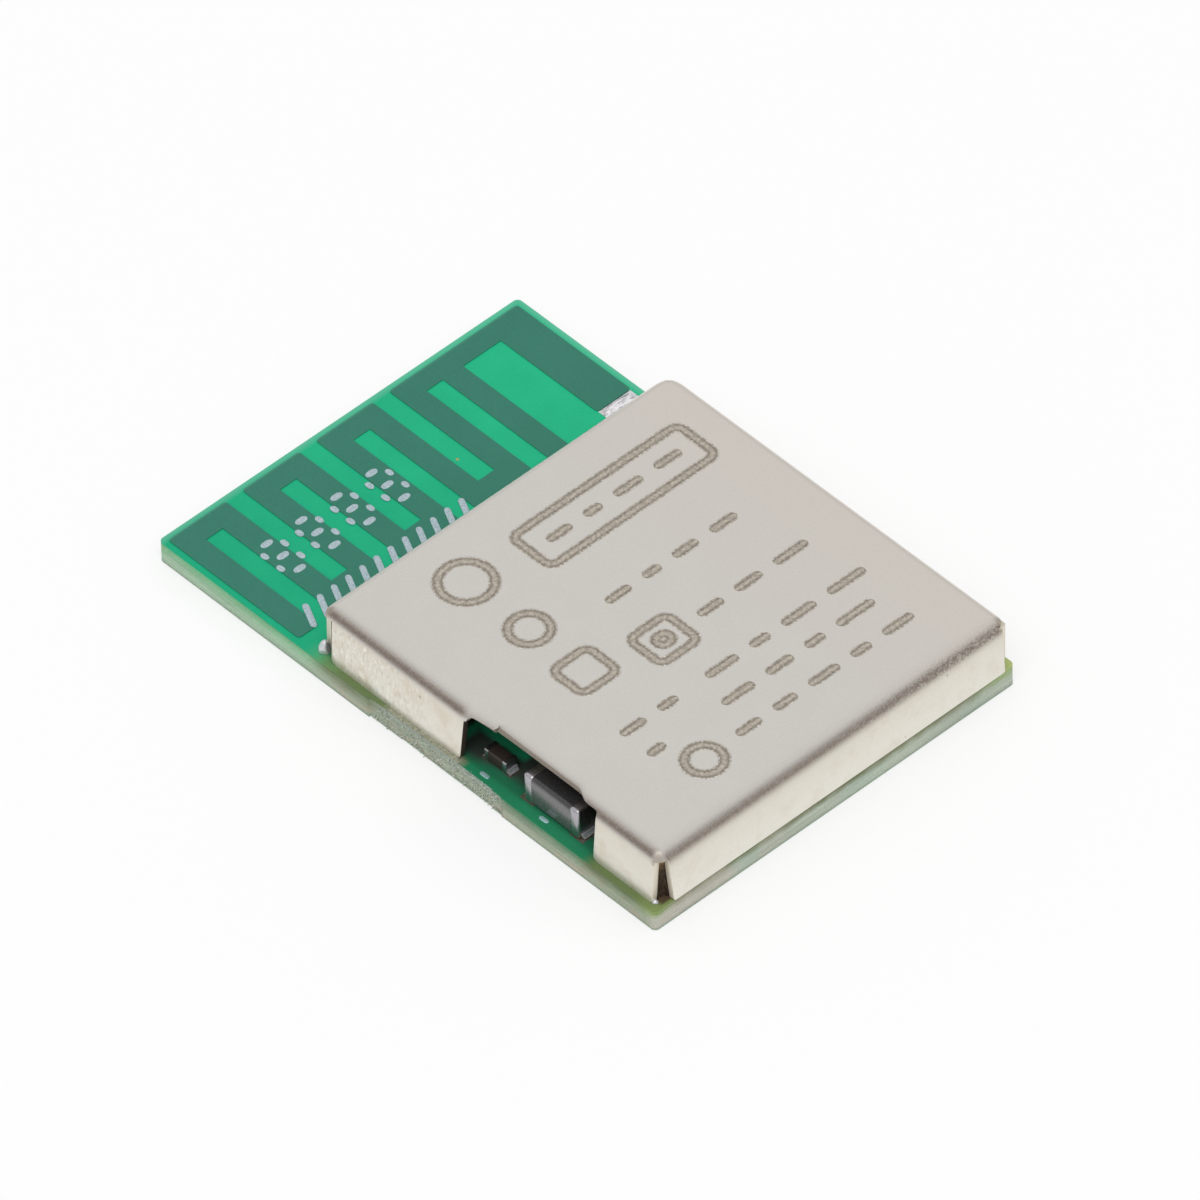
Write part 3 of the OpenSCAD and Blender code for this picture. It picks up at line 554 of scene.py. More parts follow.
# Pads under the shield: tin dulled brown by a film of flux
pad_tin = grained("Tin under flux", 0.2, "#7B7363", "#A59D8B", 0.35, 0.5, metallic=0.8, detail=4)
coat(tin, "component_solder", "radio_chip_terminals")
coat(mask, "shield_lands")
coat(pad_tin, "component_pads")
# the mask leaves a rounded opening on each dash, which the tin fills with a low dome
LAND_Y = (-5.752, -3.972, -2.192, -0.412, 1.368)
LAND_X = (-3.22, -1.44, 0.34, 2.12, 3.9)
LAND_SIDES, LAND_END, LAND_Z, HALF_LAND = (-4.893, 4.993), -7.405, 0.552, 0.13
openings = []
for x in LAND_SIDES:
    openings += [[(x, y - HALF_LAND, LAND_Z), (x, y + HALF_LAND, LAND_Z)] for y in LAND_Y]
openings += [[(x - HALF_LAND, LAND_END, LAND_Z), (x + HALF_LAND, LAND_END, LAND_Z)] for x in LAND_X]
domes = grow("land_tin_domes", stroke_tree, stroke_ids, paths(*openings), {
    "Stroke Width": 0.11 * MM, "Stroke Height": 0.01 * MM, "End Length": 0.07 * MM,
    "Corner Radius": 0.0, "Coating": land_tin})
fit(domes, "solder")


def in_order(bm):
    """Sorts a mesh by place, because some mesh tools leave it in another order at each run."""
    for parts, place in ((bm.verts, lambda v: v.co), (bm.faces, lambda f: f.calc_center_median())):
        for i, part in enumerate(sorted(parts, key=lambda p: place(p)[:])):
            part.index = i
        parts.sort()


low, high = (Vector(c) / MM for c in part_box("aerial_solder"))
SMEAR_SPREAD = 0.026
low.x -= SMEAR_SPREAD
high.x += SMEAR_SPREAD
high.y += SMEAR_SPREAD
bm = bmesh.new()
COLUMNS, ROWS = 44, 48
grid = []
for i in range(COLUMNS + 1):
    line = []
    for j in range(ROWS + 1):
        x = low.x + (high.x - low.x) * i / COLUMNS
        y = low.y + (high.y - low.y) * j / ROWS
        crown = min(1, min(i, COLUMNS - i, ROWS - j) / 5) ** 0.5
        ridge = math.exp(-((x - low.x - 0.36 - 0.1 * (y - low.y)) / 0.12) ** 2)
        past_fold = y - low.y - 0.3 - 0.15 * (x - low.x) - 0.04 * jitter(x, y, 9, 0.2)
        crease = math.exp(-(past_fold / 0.035) ** 2)
        lumps = 0.018 * jitter(x, y, 0, 0.2) + 0.009 * jitter(x, y, 5, 0.07)
        rise = crown * (0.032 + 0.022 * ridge - 0.022 * crease + lumps)
        line.append(bm.verts.new((x, y, low.z + max(0.004, rise))))
    grid.append(line)
for a, b in zip(grid, grid[1:]):
    for j in range(ROWS):
        bm.faces.new((a[j], b[j], b[j + 1], a[j + 1]))
rim_edges = [e for e in bm.edges if e.is_boundary]
skirt = bmesh.ops.extrude_edge_only(bm, edges=rim_edges)["geom"]
for v in (g for g in skirt if isinstance(g, bmesh.types.BMVert)):
    v.co.z = low.z
bmesh.ops.contextual_create(bm, geom=[e for e in bm.edges if e.is_boundary])
bmesh.ops.recalc_face_normals(bm, faces=bm.faces)
in_order(bm)
# Smeared solder: dragged while it froze, white with grey folds
dragged, tree, spot = start_material("Dragged tin solder")
# folds about 0.1 mm apart and three times as long
drag = add(tree, "Mapping", {0: spot, "Scale": (1 / 0.3, 1 / 0.1, 1 / 0.1)})
folds = add(tree, "TexNoise", {"Vector": drag, "Scale": 1, "Detail": 3, "Roughness": 0.65})
folds = add(tree, "MapRange", {0: folds, 1: 0.36, 2: 0.56})
add(tree, "OutputMaterial", {0: add(tree, "BsdfPrincipled", {
    "Base Color": add(tree, "Mix", {0: folds, 6: "#9E9AA0", 7: "#F3F1F3"}),
    "Metallic": 0.4, "Roughness": add(tree, "MapRange", {0: folds, 3: 0.55, 4: 0.4}),
    "Normal": add(tree, "Bump", {"Height": folds, "Distance": 0.015 * MM, "Strength": 0.7})})})
smear = make_object("aerial_solder_smear", bm, dragged)
fit(smear, "solder", "aerial_solder")

# Parts under the shield: the radio chip in black moulding compound, two crystals in ceramic
# cases with welded lids, and small chip capacitors and inductors with tinned ends.
# Moulding compound is matt black with fine glints of its silica filler.
compound = grained("Black epoxy moulding compound", 0.04, "#1B1A1C", "#302E31", 0.5, 0.7,
                   bump=(0.003, 0.6))
coat(compound, "radio_chip")
# Alumina is sintered with a dark pigment, and shows a fine brown grain
alumina = grained("Dark alumina ceramic", 0.06, "#2E2825", "#463E39", 0.45, 0.6)
coat(alumina, "main_crystal_base", "sleep_crystal_base")
# The lids are rolled sheet with a thin nickel plating, and keep the rolling lines
lid_plate, tree, spot = start_material("Nickel-plated lid")
rolled = add(tree, "Mapping", {0: spot, "Scale": (1 / 0.8, 1 / 0.03, 1 / 0.1)})
brush = add(tree, "TexNoise", {"Vector": rolled, "Scale": 1, "Detail": 3})
add(tree, "OutputMaterial", {0: add(tree, "BsdfPrincipled", {
    "Base Color": add(tree, "Mix", {0: brush, 6: "#B5B1AA", 7: "#CFCBC4"}),
    "Metallic": 1, "Roughness": add(tree, "MapRange", {0: brush, 3: 0.25, 4: 0.42})})})
coat(lid_plate, "main_crystal_lid", "sleep_crystal_lid")


def make_chip_tree():
    """Chip parts on points: a block between two plated ends, all with rounded long edges."""
    tree, given, ids = start_tree("chip_parts", (
        ("Places", "Geometry"), ("Length", "Float"), ("Width", "Float"), ("Cap Length", "Float"),
        ("Edge Radius", "Float"), ("Cap Rise", "Float"), ("Body", "Material"), ("Caps", "Material")))
    end = add(tree, "Math", {0: given["Length"], 1: 0.5}, operation="MULTIPLY")
    inner = add(tree, "Math", {0: end, 1: given["Cap Length"]}, operation="SUBTRACT")
    body_w = add(tree, "Math", {0: given["Cap Rise"], 1: -2.0, 2: given["Width"]},
                 operation="MULTIPLY_ADD")
    blocks = []
    for width, start, stop, first_sign, last_sign, coating in (
            (body_w, inner, inner, -1.0, 1.0, "Body"),
            (given["Width"], end, inner, -1.0, -1.0, "Caps"),
            (given["Width"], inner, end, 1.0, 1.0, "Caps")):
        first = add(tree, "Math", {0: start, 1: first_sign}, operation="MULTIPLY")
        last = add(tree, "Math", {0: stop, 1: last_sign}, operation="MULTIPLY")
        line = add(tree, "GeometryNodeCurvePrimitiveLine", {
            "Start": add(tree, "CombineXYZ", {1: first}), "End": add(tree, "CombineXYZ", {1: last})})
        line = add(tree, "GeometryNodeSetCurveNormal", {0: line}, mode="Z_UP")
        section = add(tree, "GeometryNodeCurvePrimitiveQuadrilateral",
                      {"Width": width, "Height": width}, mode="RECTANGLE")
        section = add(tree, "GeometryNodeFilletCurve",
                      {0: section, "Count": 4, "Radius": given["Edge Radius"]}, mode="POLY")
        block = add(tree, "GeometryNodeCurveToMesh", {0: line, 1: section, "Fill Caps": True})
        blocks.append(add(tree, "GeometryNodeSetMaterial", {0: block, "Material": given[coating]}))
    joined = tree.nodes.new("GeometryNodeJoinGeometry")
    for block in blocks:
        tree.links.new(block, joined.inputs[0])
    middle = add(tree, "Math", {0: given["Width"], 1: 0.5}, operation="MULTIPLY")
    lifted = add(tree, "GeometryNodeTransform", {
        0: joined.outputs[0], "Translation": add(tree, "CombineXYZ", {2: middle})})
    spread = add(tree, "GeometryNodeInstanceOnPoints", {0: given["Places"], "Instance": lifted})
    add(tree, "NodeGroupOutput", {0: add(tree, "GeometryNodeRealizeInstances", {0: spread})})
    return tree, ids


# Titanate capacitors are fired to a brown, here painted near-black as the shade under the can, and
# ferrite to a near-black grey with pores
titanate = grained("Barium titanate ceramic", 0.05, "#2A2320", "#40352E", 0.35, 0.55)
ferrite = grained("Sintered ferrite", 0.05, "#3A373A", "#5B585C", 0.3, 0.45, bump=(0.003, 0.5))
# Plated ends: smooth tin over nickel, bright only where it faces the light
plated = grained("Plated tin", 0.08, "#9A979C", "#C6C3C8", 0.22, 0.4, metallic=1)
chip_tree, chip_ids = make_chip_tree()
PART_L, PART_W = 0.65, 0.32
CAPACITORS = ("converter_capacitor", "bypass_capacitor", "load_capacitor", "matching_capacitor")
for name, kinds, body, slot in (("chip_capacitors", CAPACITORS, titanate, "capacitor_ceramic"),
                                ("chip_inductors", ("matching_inductor",), ferrite, "ferrite")):
    members = sorted(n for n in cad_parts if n.startswith(kinds))
    bm = bmesh.new()
    for node in members:
        low, high = (Vector(c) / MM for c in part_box(node))
        bm.verts.new(((low.x + high.x) / 2, (low.y + high.y) / 2, low.z))
    parts = grow(name, chip_tree, chip_ids, bm, {
        "Length": PART_L * MM, "Width": PART_W * MM, "Cap Length": 0.17 * PART_L * MM,
        "Edge Radius": 0.03 * MM, "Cap Rise": 0.01 * MM, "Body": body, "Caps": plated})
    fit(parts, slot, *members)

# Power inductor in the shield's window: a winding pressed into grey iron powder, with bright
# plated ends that wrap round it and stand in solder.


def rounded_block(bm, low, high, radius, coating):
    """A block between two corners with rounded edges."""
    made = bmesh.ops.create_cube(bm, size=1)["verts"]
    for v in made:
        v.co = Vector([a + (b - a) * (c + 0.5) for a, b, c in zip(low, high, v.co)])
    edges = list({e for v in made for e in v.link_edges})
    made = bmesh.ops.bevel(bm, geom=edges, offset=radius, segments=4, profile=0.5,
                           affect="EDGES")["faces"]
    for f in {f for face in made for v in face.verts for f in v.link_faces}:
        f.material_index = coating


# Pressed iron powder has a dull metallic sheen and takes on the colour of the board under it. Its top
# is painted darker, as the can's shade.
powder, tree, spot = start_material("Pressed iron powder")
grains = add(tree, "TexNoise", {"Vector": spot, "Scale": 1 / 0.05, "Detail": 3})
grey = add(tree, "Mix", {0: grains, 6: "#6B696B", 7: "#8C8A8C"})
# painted shade: darker above 1.2 mm, where the can hangs over
top_shade = add(tree, "SeparateXYZ", {0: spot}, out="Z")
top_shade = add(tree, "MapRange", {0: top_shade, 1: 1.2, 2: 1.3, 3: 1, 4: 0.4})
add(tree, "OutputMaterial", {0: add(tree, "BsdfPrincipled", {
    "Base Color": add(tree, "VectorMath", {0: grey, "Scale": top_shade}, operation="SCALE"),
    "Metallic": 0.7, "Roughness": add(tree, "MapRange", {0: grains, 3: 0.2, 4: 0.38}),
    "Normal": add(tree, "Bump", {"Height": grains, "Distance": 0.003 * MM, "Strength": 0.4})})})
low, high = (Vector(c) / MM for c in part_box("converter_inductor"))
CAP_L = 0.28
bm = bmesh.new()
rounded_block(bm, (low.x + 0.01, low.y + 0.06, low.z + 0.012),
              (high.x - 0.01, high.y - 0.06, high.z - 0.012), 0.09, 0)
rounded_block(bm, (low.x, low.y, low.z), (high.x, low.y + CAP_L, high.z), 0.08, 1)
rounded_block(bm, (low.x, high.y - CAP_L, low.z), (high.x, high.y, high.z), 0.08, 1)
inductor = make_object("window_inductor", bm, powder, plated)
inductor.data.set_sharp_from_angle(angle=math.radians(50))
fit(inductor, "ferrite", "converter_inductor")

# Shield can: one piece of thin nickel silver, blanked, drawn at its four corners and folded
# down at its sides. The walls lean out a little, with open slits between them, and one has
# a window. It is soldered down by its feet.
CAN_W, CAN_L, CAN_H = 9.88, 10.15, 1.35
CAN_X, CAN_Y, CAN_Z = CAN_MIDDLE, -2.337, 0.55
SHEET, BEND = 0.14, 0.24
# how far each side's wall leans out, in degrees: end, far side, aerial side, window side
LEANS = (5.8, 1.0, 3.5, 3.5)
SLIT_H = CAN_H - BEND + 0.04
BEND_ANGLES = [0, 6, 12, 18, 25, 32, 39, 47, 54.3, 63, 72, 80.4]
WALL_HEIGHTS = [1.08, 1.02, 0.96, 0.9, 0.75, 0.6, 0.45, 0.3,
                0.2, 0.13, 0.1, 0.07, 0.045, 0.025, 0.01, 0]
# walls of each side: ends at the slit's height, ends at the foot, and the foot's corner radii
WINDOW = (-0.755, 3.195)
WALLS = [
    [(-4.66, 4.78, -4.63, 4.74, 0.06, 0.06)],
    [(-4.995, 4.775, -4.955, 4.735, 0.06, 0.13)],
    [(-4.74, 4.78, -4.70, 4.74, 0.13, 0.06)],
    [(-4.735, WINDOW[0], -4.715, WINDOW[0] - 0.08, 0.13, 0.1),
     (WINDOW[1], 4.945, WINDOW[1] - 0.03, 4.915, 0.1, 0.06)],
]
# the arch over the aerial's feed: from x, to x, and its height
ARCH = (2.0, 3.1, 0.3)
# the window's cut into the top, the rounded lip left at its far end, the step back from the lip,
# and the shallower run at its near end
CUT_DEPTH, LIP_L, LIP_R, STEP_START, STEP_L = 0.25, 0.82, 0.22, 0.75, 0.07
RUN_DEPTH, RUN_L, RAMP_L = 0.09, 0.34, 0.46


def on_side(side, along, inset, height):
    """Point on a side: its place along it, its depth inside the wall's plane and its height."""
    out = (CAN_L if side % 2 == 0 else CAN_W) / 2 - inset
    x, y = [(along, -out), (out, along), (-along, out), (-out, -along)][side]
    return Vector((CAN_X + x, CAN_Y + y, CAN_Z + height))


def fold(angle):
    """Depth and height on the bend, from 0 degrees at the top."""
    a = math.radians(angle)
    return BEND - BEND * math.sin(a), CAN_H - BEND + BEND * math.cos(a)


def eased(share):
    """A share from 0 to 1 that starts and ends gently."""
    share = min(1, max(0, share))
    return share * share * (3 - 2 * share)


def window_inset(y):
    """Depth of the window's cut into the top, at y from the can's middle, or None outside it."""
    low, high = -WINDOW[1], -WINDOW[0]
    if not low + 1e-6 < y <= high:
        return None
    if y > high - LIP_L:
        near = max(0, LIP_R - (high - y))
        lip = 0.07 + 0.06 * min(1, (high - y) / 0.7) - LIP_R + math.sqrt(LIP_R ** 2 - near ** 2)
        return lip + (CUT_DEPTH - lip) * eased((high - y - STEP_START) / STEP_L)
    if y < low + RUN_DEPTH:
        return math.sqrt(max(0, RUN_DEPTH ** 2 - (RUN_DEPTH - (y - low)) ** 2))
    return RUN_DEPTH + (CUT_DEPTH - RUN_DEPTH) * eased((y - low - RUN_L) / RAMP_L)


def spaced(low, high, step, extra):
    """Even places between two ends, with some more."""
    count = round((high - low) / step)
    even = [low + (high - low) * i / count for i in range(count + 1)]
    marks = sorted(extra)
    kept = [e for e in even if all(abs(e - m) > 0.02 for m in marks)]
    return sorted({round(v, 4) for v in marks + kept})


# the mesh is finer along the bends, at the arch, at the ends of the walls and round the window
span_x, span_y = CAN_W / 2 - BEND, CAN_L / 2 - BEND
NEAR_BEND = (0, 0.03, 0.06, 0.1, 0.16, 0.25)
FROM_NEAR_END = (0, 0.006, 0.02, 0.045, 0.07, 0.09, 0.34, 0.42, 0.5, 0.58, 0.66, 0.74, 0.8)
FROM_FAR_END = (0, 0.02, 0.04, 0.055, 0.07, 0.09, 0.11, 0.15, 0.19, 0.22, 0.45, 0.6, 0.7, 0.75,
                0.765, 0.78, 0.79, 0.8, 0.81, 0.82, 0.86)
in_x = [s * (span_x - d) for s in (-1, 1) for d in NEAR_BEND] + [ARCH[0], ARCH[1]]
in_y = [s * (span_y - d) for s in (-1, 1) for d in NEAR_BEND] + [4.775, 4.735]
low, high = -WINDOW[1], -WINDOW[0]
in_y += [low + d for d in FROM_NEAR_END]
in_y += [high - d for d in FROM_FAR_END]
columns_x, columns_y = spaced(-span_x, span_x, 0.3, in_x), spaced(-span_y, span_y, 0.3, in_y)

bm = bmesh.new()
reflection_dullness_layer = bm.verts.layers.float.new("dark_reflection_and_dullness")
drawn_layer = bm.verts.layers.float.new("drawn")


def sheet(rows):
    """Faces between rows of points."""
    made = [[bm.verts.new(p) for p in row] for row in rows]
    for a, b in zip(made, made[1:]):
        for i in range(len(a) - 1):
            bm.faces.new((a[i], a[i + 1], b[i + 1], b[i]))


BURR_H, BURR_PLACE = 0.035, 0.81


def top_point(x, y):
    """Point of the flat top, cut back at the window, whose sheared edge has a small burr."""
    cut = window_inset(y)
    if cut is not None and x < -CAN_W / 2 + cut:
        x = cut - CAN_W / 2
    burr = BURR_H * math.exp(-((y - high + BURR_PLACE) / 0.05) ** 2 - ((x + span_x) / 0.06) ** 2)
    return Vector((CAN_X + x, CAN_Y + y, CAN_Z + CAN_H + burr))


def bend_point(side, along, angle):
    """Point on a bend. At the window it stops at the cut."""
    cut = window_inset(-along) if side == 3 else None
    if cut is not None and cut > 0:
        if cut >= BEND:
            return top_point(-span_x, -along)
        angle = min(angle, math.degrees(math.asin((BEND - cut) / BEND)))
    if side == 3 and angle == 0:
        return top_point(-span_x, -along)
    return on_side(side, along, *fold(angle))


def dark_reflection_and_dullness(point):
    """How strongly a dark reflection is painted on the metal at a point, and how far folding and
    shearing have dulled it, from 0 to 1.
    """
    x, y, rise = point.x - CAN_X, point.y - CAN_Y, point.z - CAN_Z - CAN_H + BEND
    deep_x, deep_y = CAN_W / 2 - abs(x), CAN_L / 2 - abs(y)
    inset, other = min(deep_x, deep_y), max(deep_x, deep_y)
    # the turn goes on past the bend's ends, at 200 degrees for a millimetre
    if rise >= BEND - 1e-4:
        turn = (BEND - inset) * 200
    elif rise > 0:
        turn = math.degrees(math.acos(rise / BEND))
    else:
        turn = 90 - rise * 200
    # where on the turn the painted dark reflection is strongest and the metal dullest, how fast that
    # fades on both sides, and how strong it is
    if x < 0 and deep_x < deep_y:
        middle, before, after, most = 46, 34, 28, 1.0
    elif y < 0 and deep_y <= deep_x:
        middle, before, after, most = 79, 48, 30, 0.95
    else:
        middle, before, after, most = 82, 18, 20, 0.7
    found = most * math.exp(-((turn - middle) / (before if turn < middle else after)) ** 2)
    if x < 0 and y < 0:
        found *= min(1, max(0.12, 0.12 + 0.88 * (other - 0.13) / 0.13))
    # the lip at the window's far end gets less of the painted dark reflection, and beside the sheared
    # edge the plate is painted darker, as the burr's shade
    past = y + WINDOW[0]
    if x < 0 and deep_x < deep_y and -0.85 < past < 0.12:
        kept = 0.4 + 0.45 * max(0, -past) / 0.7
        found *= min(1, max(kept, 0.4 + 0.6 * (past + 0.06) / 0.18))
    cut = window_inset(y) if x < 0 and deep_x < deep_y else None
    if cut is not None and turn < 60 and past < -0.8:
        found = max(found, 0.62 * math.exp(-max(0, inset - cut) / 0.06))
    return found


# the drawn corner at the end wall's right stops higher up its bend than the others, in degrees
SHORT_CORNER = 54.3
sheet([[top_point(x, y) for x in columns_x] for y in columns_y])
for side in range(4):
    half, columns = (span_x, columns_x) if side % 2 == 0 else (span_y, columns_y)
    along = columns if side < 2 else [-c for c in reversed(columns)]
    sheet([[bend_point(side, t, a) for t in along] for a in BEND_ANGLES])
    for left, right, foot_left, foot_right, left_r, right_r in WALLS[side]:
        ends = [left, (left - half) / 2] if left < -half else [left]
        ends += [(right + half) / 2, right] if right > half else [right]
        across = sorted({round(t, 4) for t in ends + [t for t in along if left < t < right]})
        wall_angle = 90 - LEANS[side]
        rows = [[on_side(side, t, *fold(a)) for t in across] for a in (BEND_ANGLES[-1], wall_angle)]
        flat_inset, flat_height = fold(wall_angle)
        for h in WALL_HEIGHTS:
            share = h / SLIT_H
            a = foot_left + (left - foot_left) * share
            b = foot_right + (right - foot_right) * share
            a += left_r - math.sqrt(left_r ** 2 - (left_r - h) ** 2) if h < left_r else 0
            b -= right_r - math.sqrt(right_r ** 2 - (right_r - h) ** 2) if h < right_r else 0
            inset = flat_inset - (flat_height - h) * math.tan(math.radians(LEANS[side]))
            rows.append([on_side(side, a + (t - left) / (right - left) * (b - a), inset, h)
                         for t in across])
        sheet(rows)
    # the drawn corner at this side's right end, where the slit starts at its lower edge
    sx, sy = [(1, -1), (1, 1), (-1, 1), (-1, -1)][side]
    rows = []
    for a in (a for a in BEND_ANGLES if side != 0 or a <= SHORT_CORNER):
        inset, h = fold(a)
        reach = BEND - inset
        turns = [math.radians(t) for t in range(0, 91, 10)]
        rows.append([Vector((CAN_X + sx * (span_x + reach * math.cos(t)),
                             CAN_Y + sy * (span_y + reach * math.sin(t)), CAN_Z + h)) for t in turns])
    sheet(rows)
bmesh.ops.remove_doubles(bm, verts=bm.verts, dist=0.0004)
bmesh.ops.dissolve_degenerate(bm, edges=bm.edges, dist=0.0004)
arch_faces = []
for f in bm.faces:
    middle = f.calc_center_median() - Vector((CAN_X, CAN_Y, CAN_Z))
    if middle.z < ARCH[2] and middle.y > span_y and ARCH[0] < middle.x < ARCH[1]:
        arch_faces.append(f)
bmesh.ops.delete(bm, geom=arch_faces, context="FACES")
bmesh.ops.recalc_face_normals(bm, faces=bm.faces)
if max(bm.faces, key=lambda f: f.calc_area()).normal.z < 0:
    bmesh.ops.reverse_faces(bm, faces=bm.faces)
# the far corner was drawn rounder than the others
FAR_R, FAR_SHARE = 0.48, 0.6
for v in bm.verts:
    v[reflection_dullness_layer] = dark_reflection_and_dullness(v.co)
    deep_x, deep_y = CAN_W / 2 - abs(v.co.x - CAN_X), CAN_L / 2 - abs(v.co.y - CAN_Y)
    share = min(1, max(0, (BEND + 0.02 - max(deep_x, deep_y)) / 0.12))
    v[drawn_layer] = share if v.co.z > CAN_Z + SLIT_H - 0.1 else 0.0
    u, w = v.co.x - CAN_X - CAN_W / 2 + FAR_R, v.co.y - CAN_Y - CAN_L / 2 + FAR_R
    if u > 0 and w > 0:
        up = min(1, (v.co.z - CAN_Z) / (CAN_H - BEND))
        pull = FAR_SHARE * up * (1 - max(u, w) / math.hypot(u, w))
        v.co.x -= pull * u
        v.co.y -= pull * w

# Nickel silver: warm grey, satin from rolling. The bends carry a painted dark brownish reflection and
# are duller and grainy, and the walls carry faint tan stains and a few nicks from the folding tool,
# which are painted as dark spots of shade.
nickel, tree, spot = start_material("Nickel silver sheet")
place = add(tree, "SeparateXYZ", {0: spot}).node.outputs
reflection_and_dullness = add(tree, "Attribute", out="Fac", attribute_name="dark_reflection_and_dullness")
cloud = add(tree, "TexNoise", {"Vector": spot, "Scale": 1 / 0.9, "Detail": 4})
mottle = add(tree, "TexNoise", {"Vector": spot, "Scale": 1 / 0.4, "Detail": 3})
grit = add(tree, "TexNoise", {"Vector": spot, "Scale": 1 / 0.045, "Detail": 2, "Roughness": 0.7})
top_tone = add(tree, "Mix", {0: cloud, 6: "#DCD8D2", 7: "#E1DDD7"})
warm = add(tree, "MapRange", {0: place[0], 1: 0.5, 2: 4.8, 4: 0.9})
top_tone = add(tree, "Mix", {0: warm, 6: top_tone, 7: "#DFD8CF"})
up_wall = add(tree, "MapRange", {0: place[2], 1: 0.8, 2: 1.6})
wall_tone = add(tree, "Mix", {0: up_wall, 6: "#E6E2D7", 7: "#DDD8CB"})
stain_and_shade = add(tree, "MapRange", {0: place[0], 1: -4.7, 2: -4.5, 3: 0.6, 4: 0.3})
stain = add(tree, "MapRange", {0: mottle, 1: 0.5, 2: 0.72, 4: stain_and_shade})
wall_tone = add(tree, "Mix", {0: stain, 6: wall_tone, 7: "#D3C8B4"})
# the window side was rubbed upright by the folding tool, in strokes of about 0.07 by 0.14 mm
rubbed = add(tree, "Mapping", {0: spot, "Scale": (1 / 0.07, 1 / 0.07, 1 / 0.14)})
rubbed = add(tree, "TexNoise", {"Vector": rubbed, "Scale": 1, "Detail": 2, "Roughness": 0.5})
rub_side = add(tree, "MapRange", {0: place[0], 1: -4.7, 2: -4.5, 3: 1, 4: 0})
rub_end = add(tree, "MapRange", {0: place[1], 1: -1.0, 2: 0.8})
rub = add(tree, "Math", {0: rub_side, 1: rub_end}, operation="MULTIPLY")
scuff = add(tree, "MapRange", {0: rubbed, 1: 0.52, 2: 0.7, 4: 0.6})
scuff = add(tree, "Math", {0: scuff, 1: rub}, operation="MULTIPLY")
wall_tone = add(tree, "Mix", {0: scuff, 6: wall_tone, 7: "#C8BDA8"})
shine = add(tree, "MapRange", {0: rubbed, 1: 0.42, 2: 0.32, 4: 0.9})
shine = add(tree, "Math", {0: shine, 1: rub}, operation="MULTIPLY")
wall_tone = add(tree, "Mix", {0: shine, 6: wall_tone, 7: "#F3F0E8"})
NICKS = (((-4.893, -0.272, 1.441), 0.06), ((1.969, -7.49, 0.65), 0.045), ((3.254, -7.43, 1.484), 0.04))
# each nick is painted as a dark spot, the shade of its dent
for nick, radius in NICKS:
    apart = add(tree, "VectorMath", {0: spot, 1: nick}, out="Value", operation="DISTANCE")
    nick_shade = add(tree, "MapRange", {0: apart, 1: 0.3 * radius, 2: radius, 3: 0.6, 4: 0})
    wall_tone = add(tree, "Mix", {0: nick_shade, 6: wall_tone, 7: "#8C8378"})
wall = add(tree, "MapRange", {0: place[2], 1: 1.66, 2: 1.72, 3: 1, 4: 0})
tone = add(tree, "Mix", {0: wall, 6: top_tone, 7: wall_tone})
# the bend is grainiest toward the far end of the end wall
coarse = add(tree, "MapRange", {0: place[0], 1: 0.5, 2: 3.5, 3: 0.25, 4: 1})
core = add(tree, "Math", {0: reflection_and_dullness, 1: 1.6}, operation="POWER")
spread = add(tree, "Math", {0: coarse, 1: core}, operation="MULTIPLY")
sparkle = add(tree, "MapRange", {0: grit, 1: 0.35, 2: 0.65, 3: 0.5, 4: -0.36})
dark_reflection_and_grit = add(tree, "Math", {0: sparkle, 1: spread, 2: reflection_and_dullness}, operation="MULTIPLY_ADD", use_clamp=True)
# painted dark brown reflection on the bends, broken up by the grit
tone = add(tree, "Mix", {0: dark_reflection_and_grit, 6: tone, 7: "#8D8279"})
flakes = add(tree, "TexNoise", {"Vector": spot, "Scale": 1 / 0.08, "Detail": 1})
flakes = add(tree, "MapRange", {0: flakes, 1: 0.58, 2: 0.66, 4: 0.4})
flakes = add(tree, "Math", {0: flakes, 1: spread}, operation="MULTIPLY")
tone = add(tree, "Mix", {0: flakes, 6: tone, 7: "#E0DBD5"})
speck = add(tree, "MapRange", {0: grit, 1: 0.3, 2: 0.6, 3: 0.96, 4: 1.01})
# the drawn corners are rougher than the rolled sheet
drawn = add(tree, "Attribute", out="Fac", attribute_name="drawn")
peel = add(tree, "Math", {0: drawn, 1: 0.62}, operation="MULTIPLY")
matt = add(tree, "Math", {0: drawn, 1: wall}, operation="MAXIMUM")
dimmed = add(tree, "Math", {0: drawn, 1: 0.85}, operation="MULTIPLY")
tone = add(tree, "Mix", {0: dimmed, 6: tone, 7: "#A99F93"})
add(tree, "OutputMaterial", {0: add(tree, "BsdfPrincipled", {
    "Base Color": add(tree, "VectorMath", {0: tone, "Scale": speck}, operation="SCALE"),
    "Metallic": add(tree, "MapRange", {0: matt, 3: 1, 4: 0.6}),
    "Roughness": add(tree, "Math", {0: add(tree, "MapRange", {0: reflection_and_dullness, 3: 0.33, 4: 0.5}), 1: peel},
                     operation="MAXIMUM"),
    "Normal": add(tree, "Bump", {"Height": grit, "Distance": 0.0012 * MM, "Strength": 0.5})})})
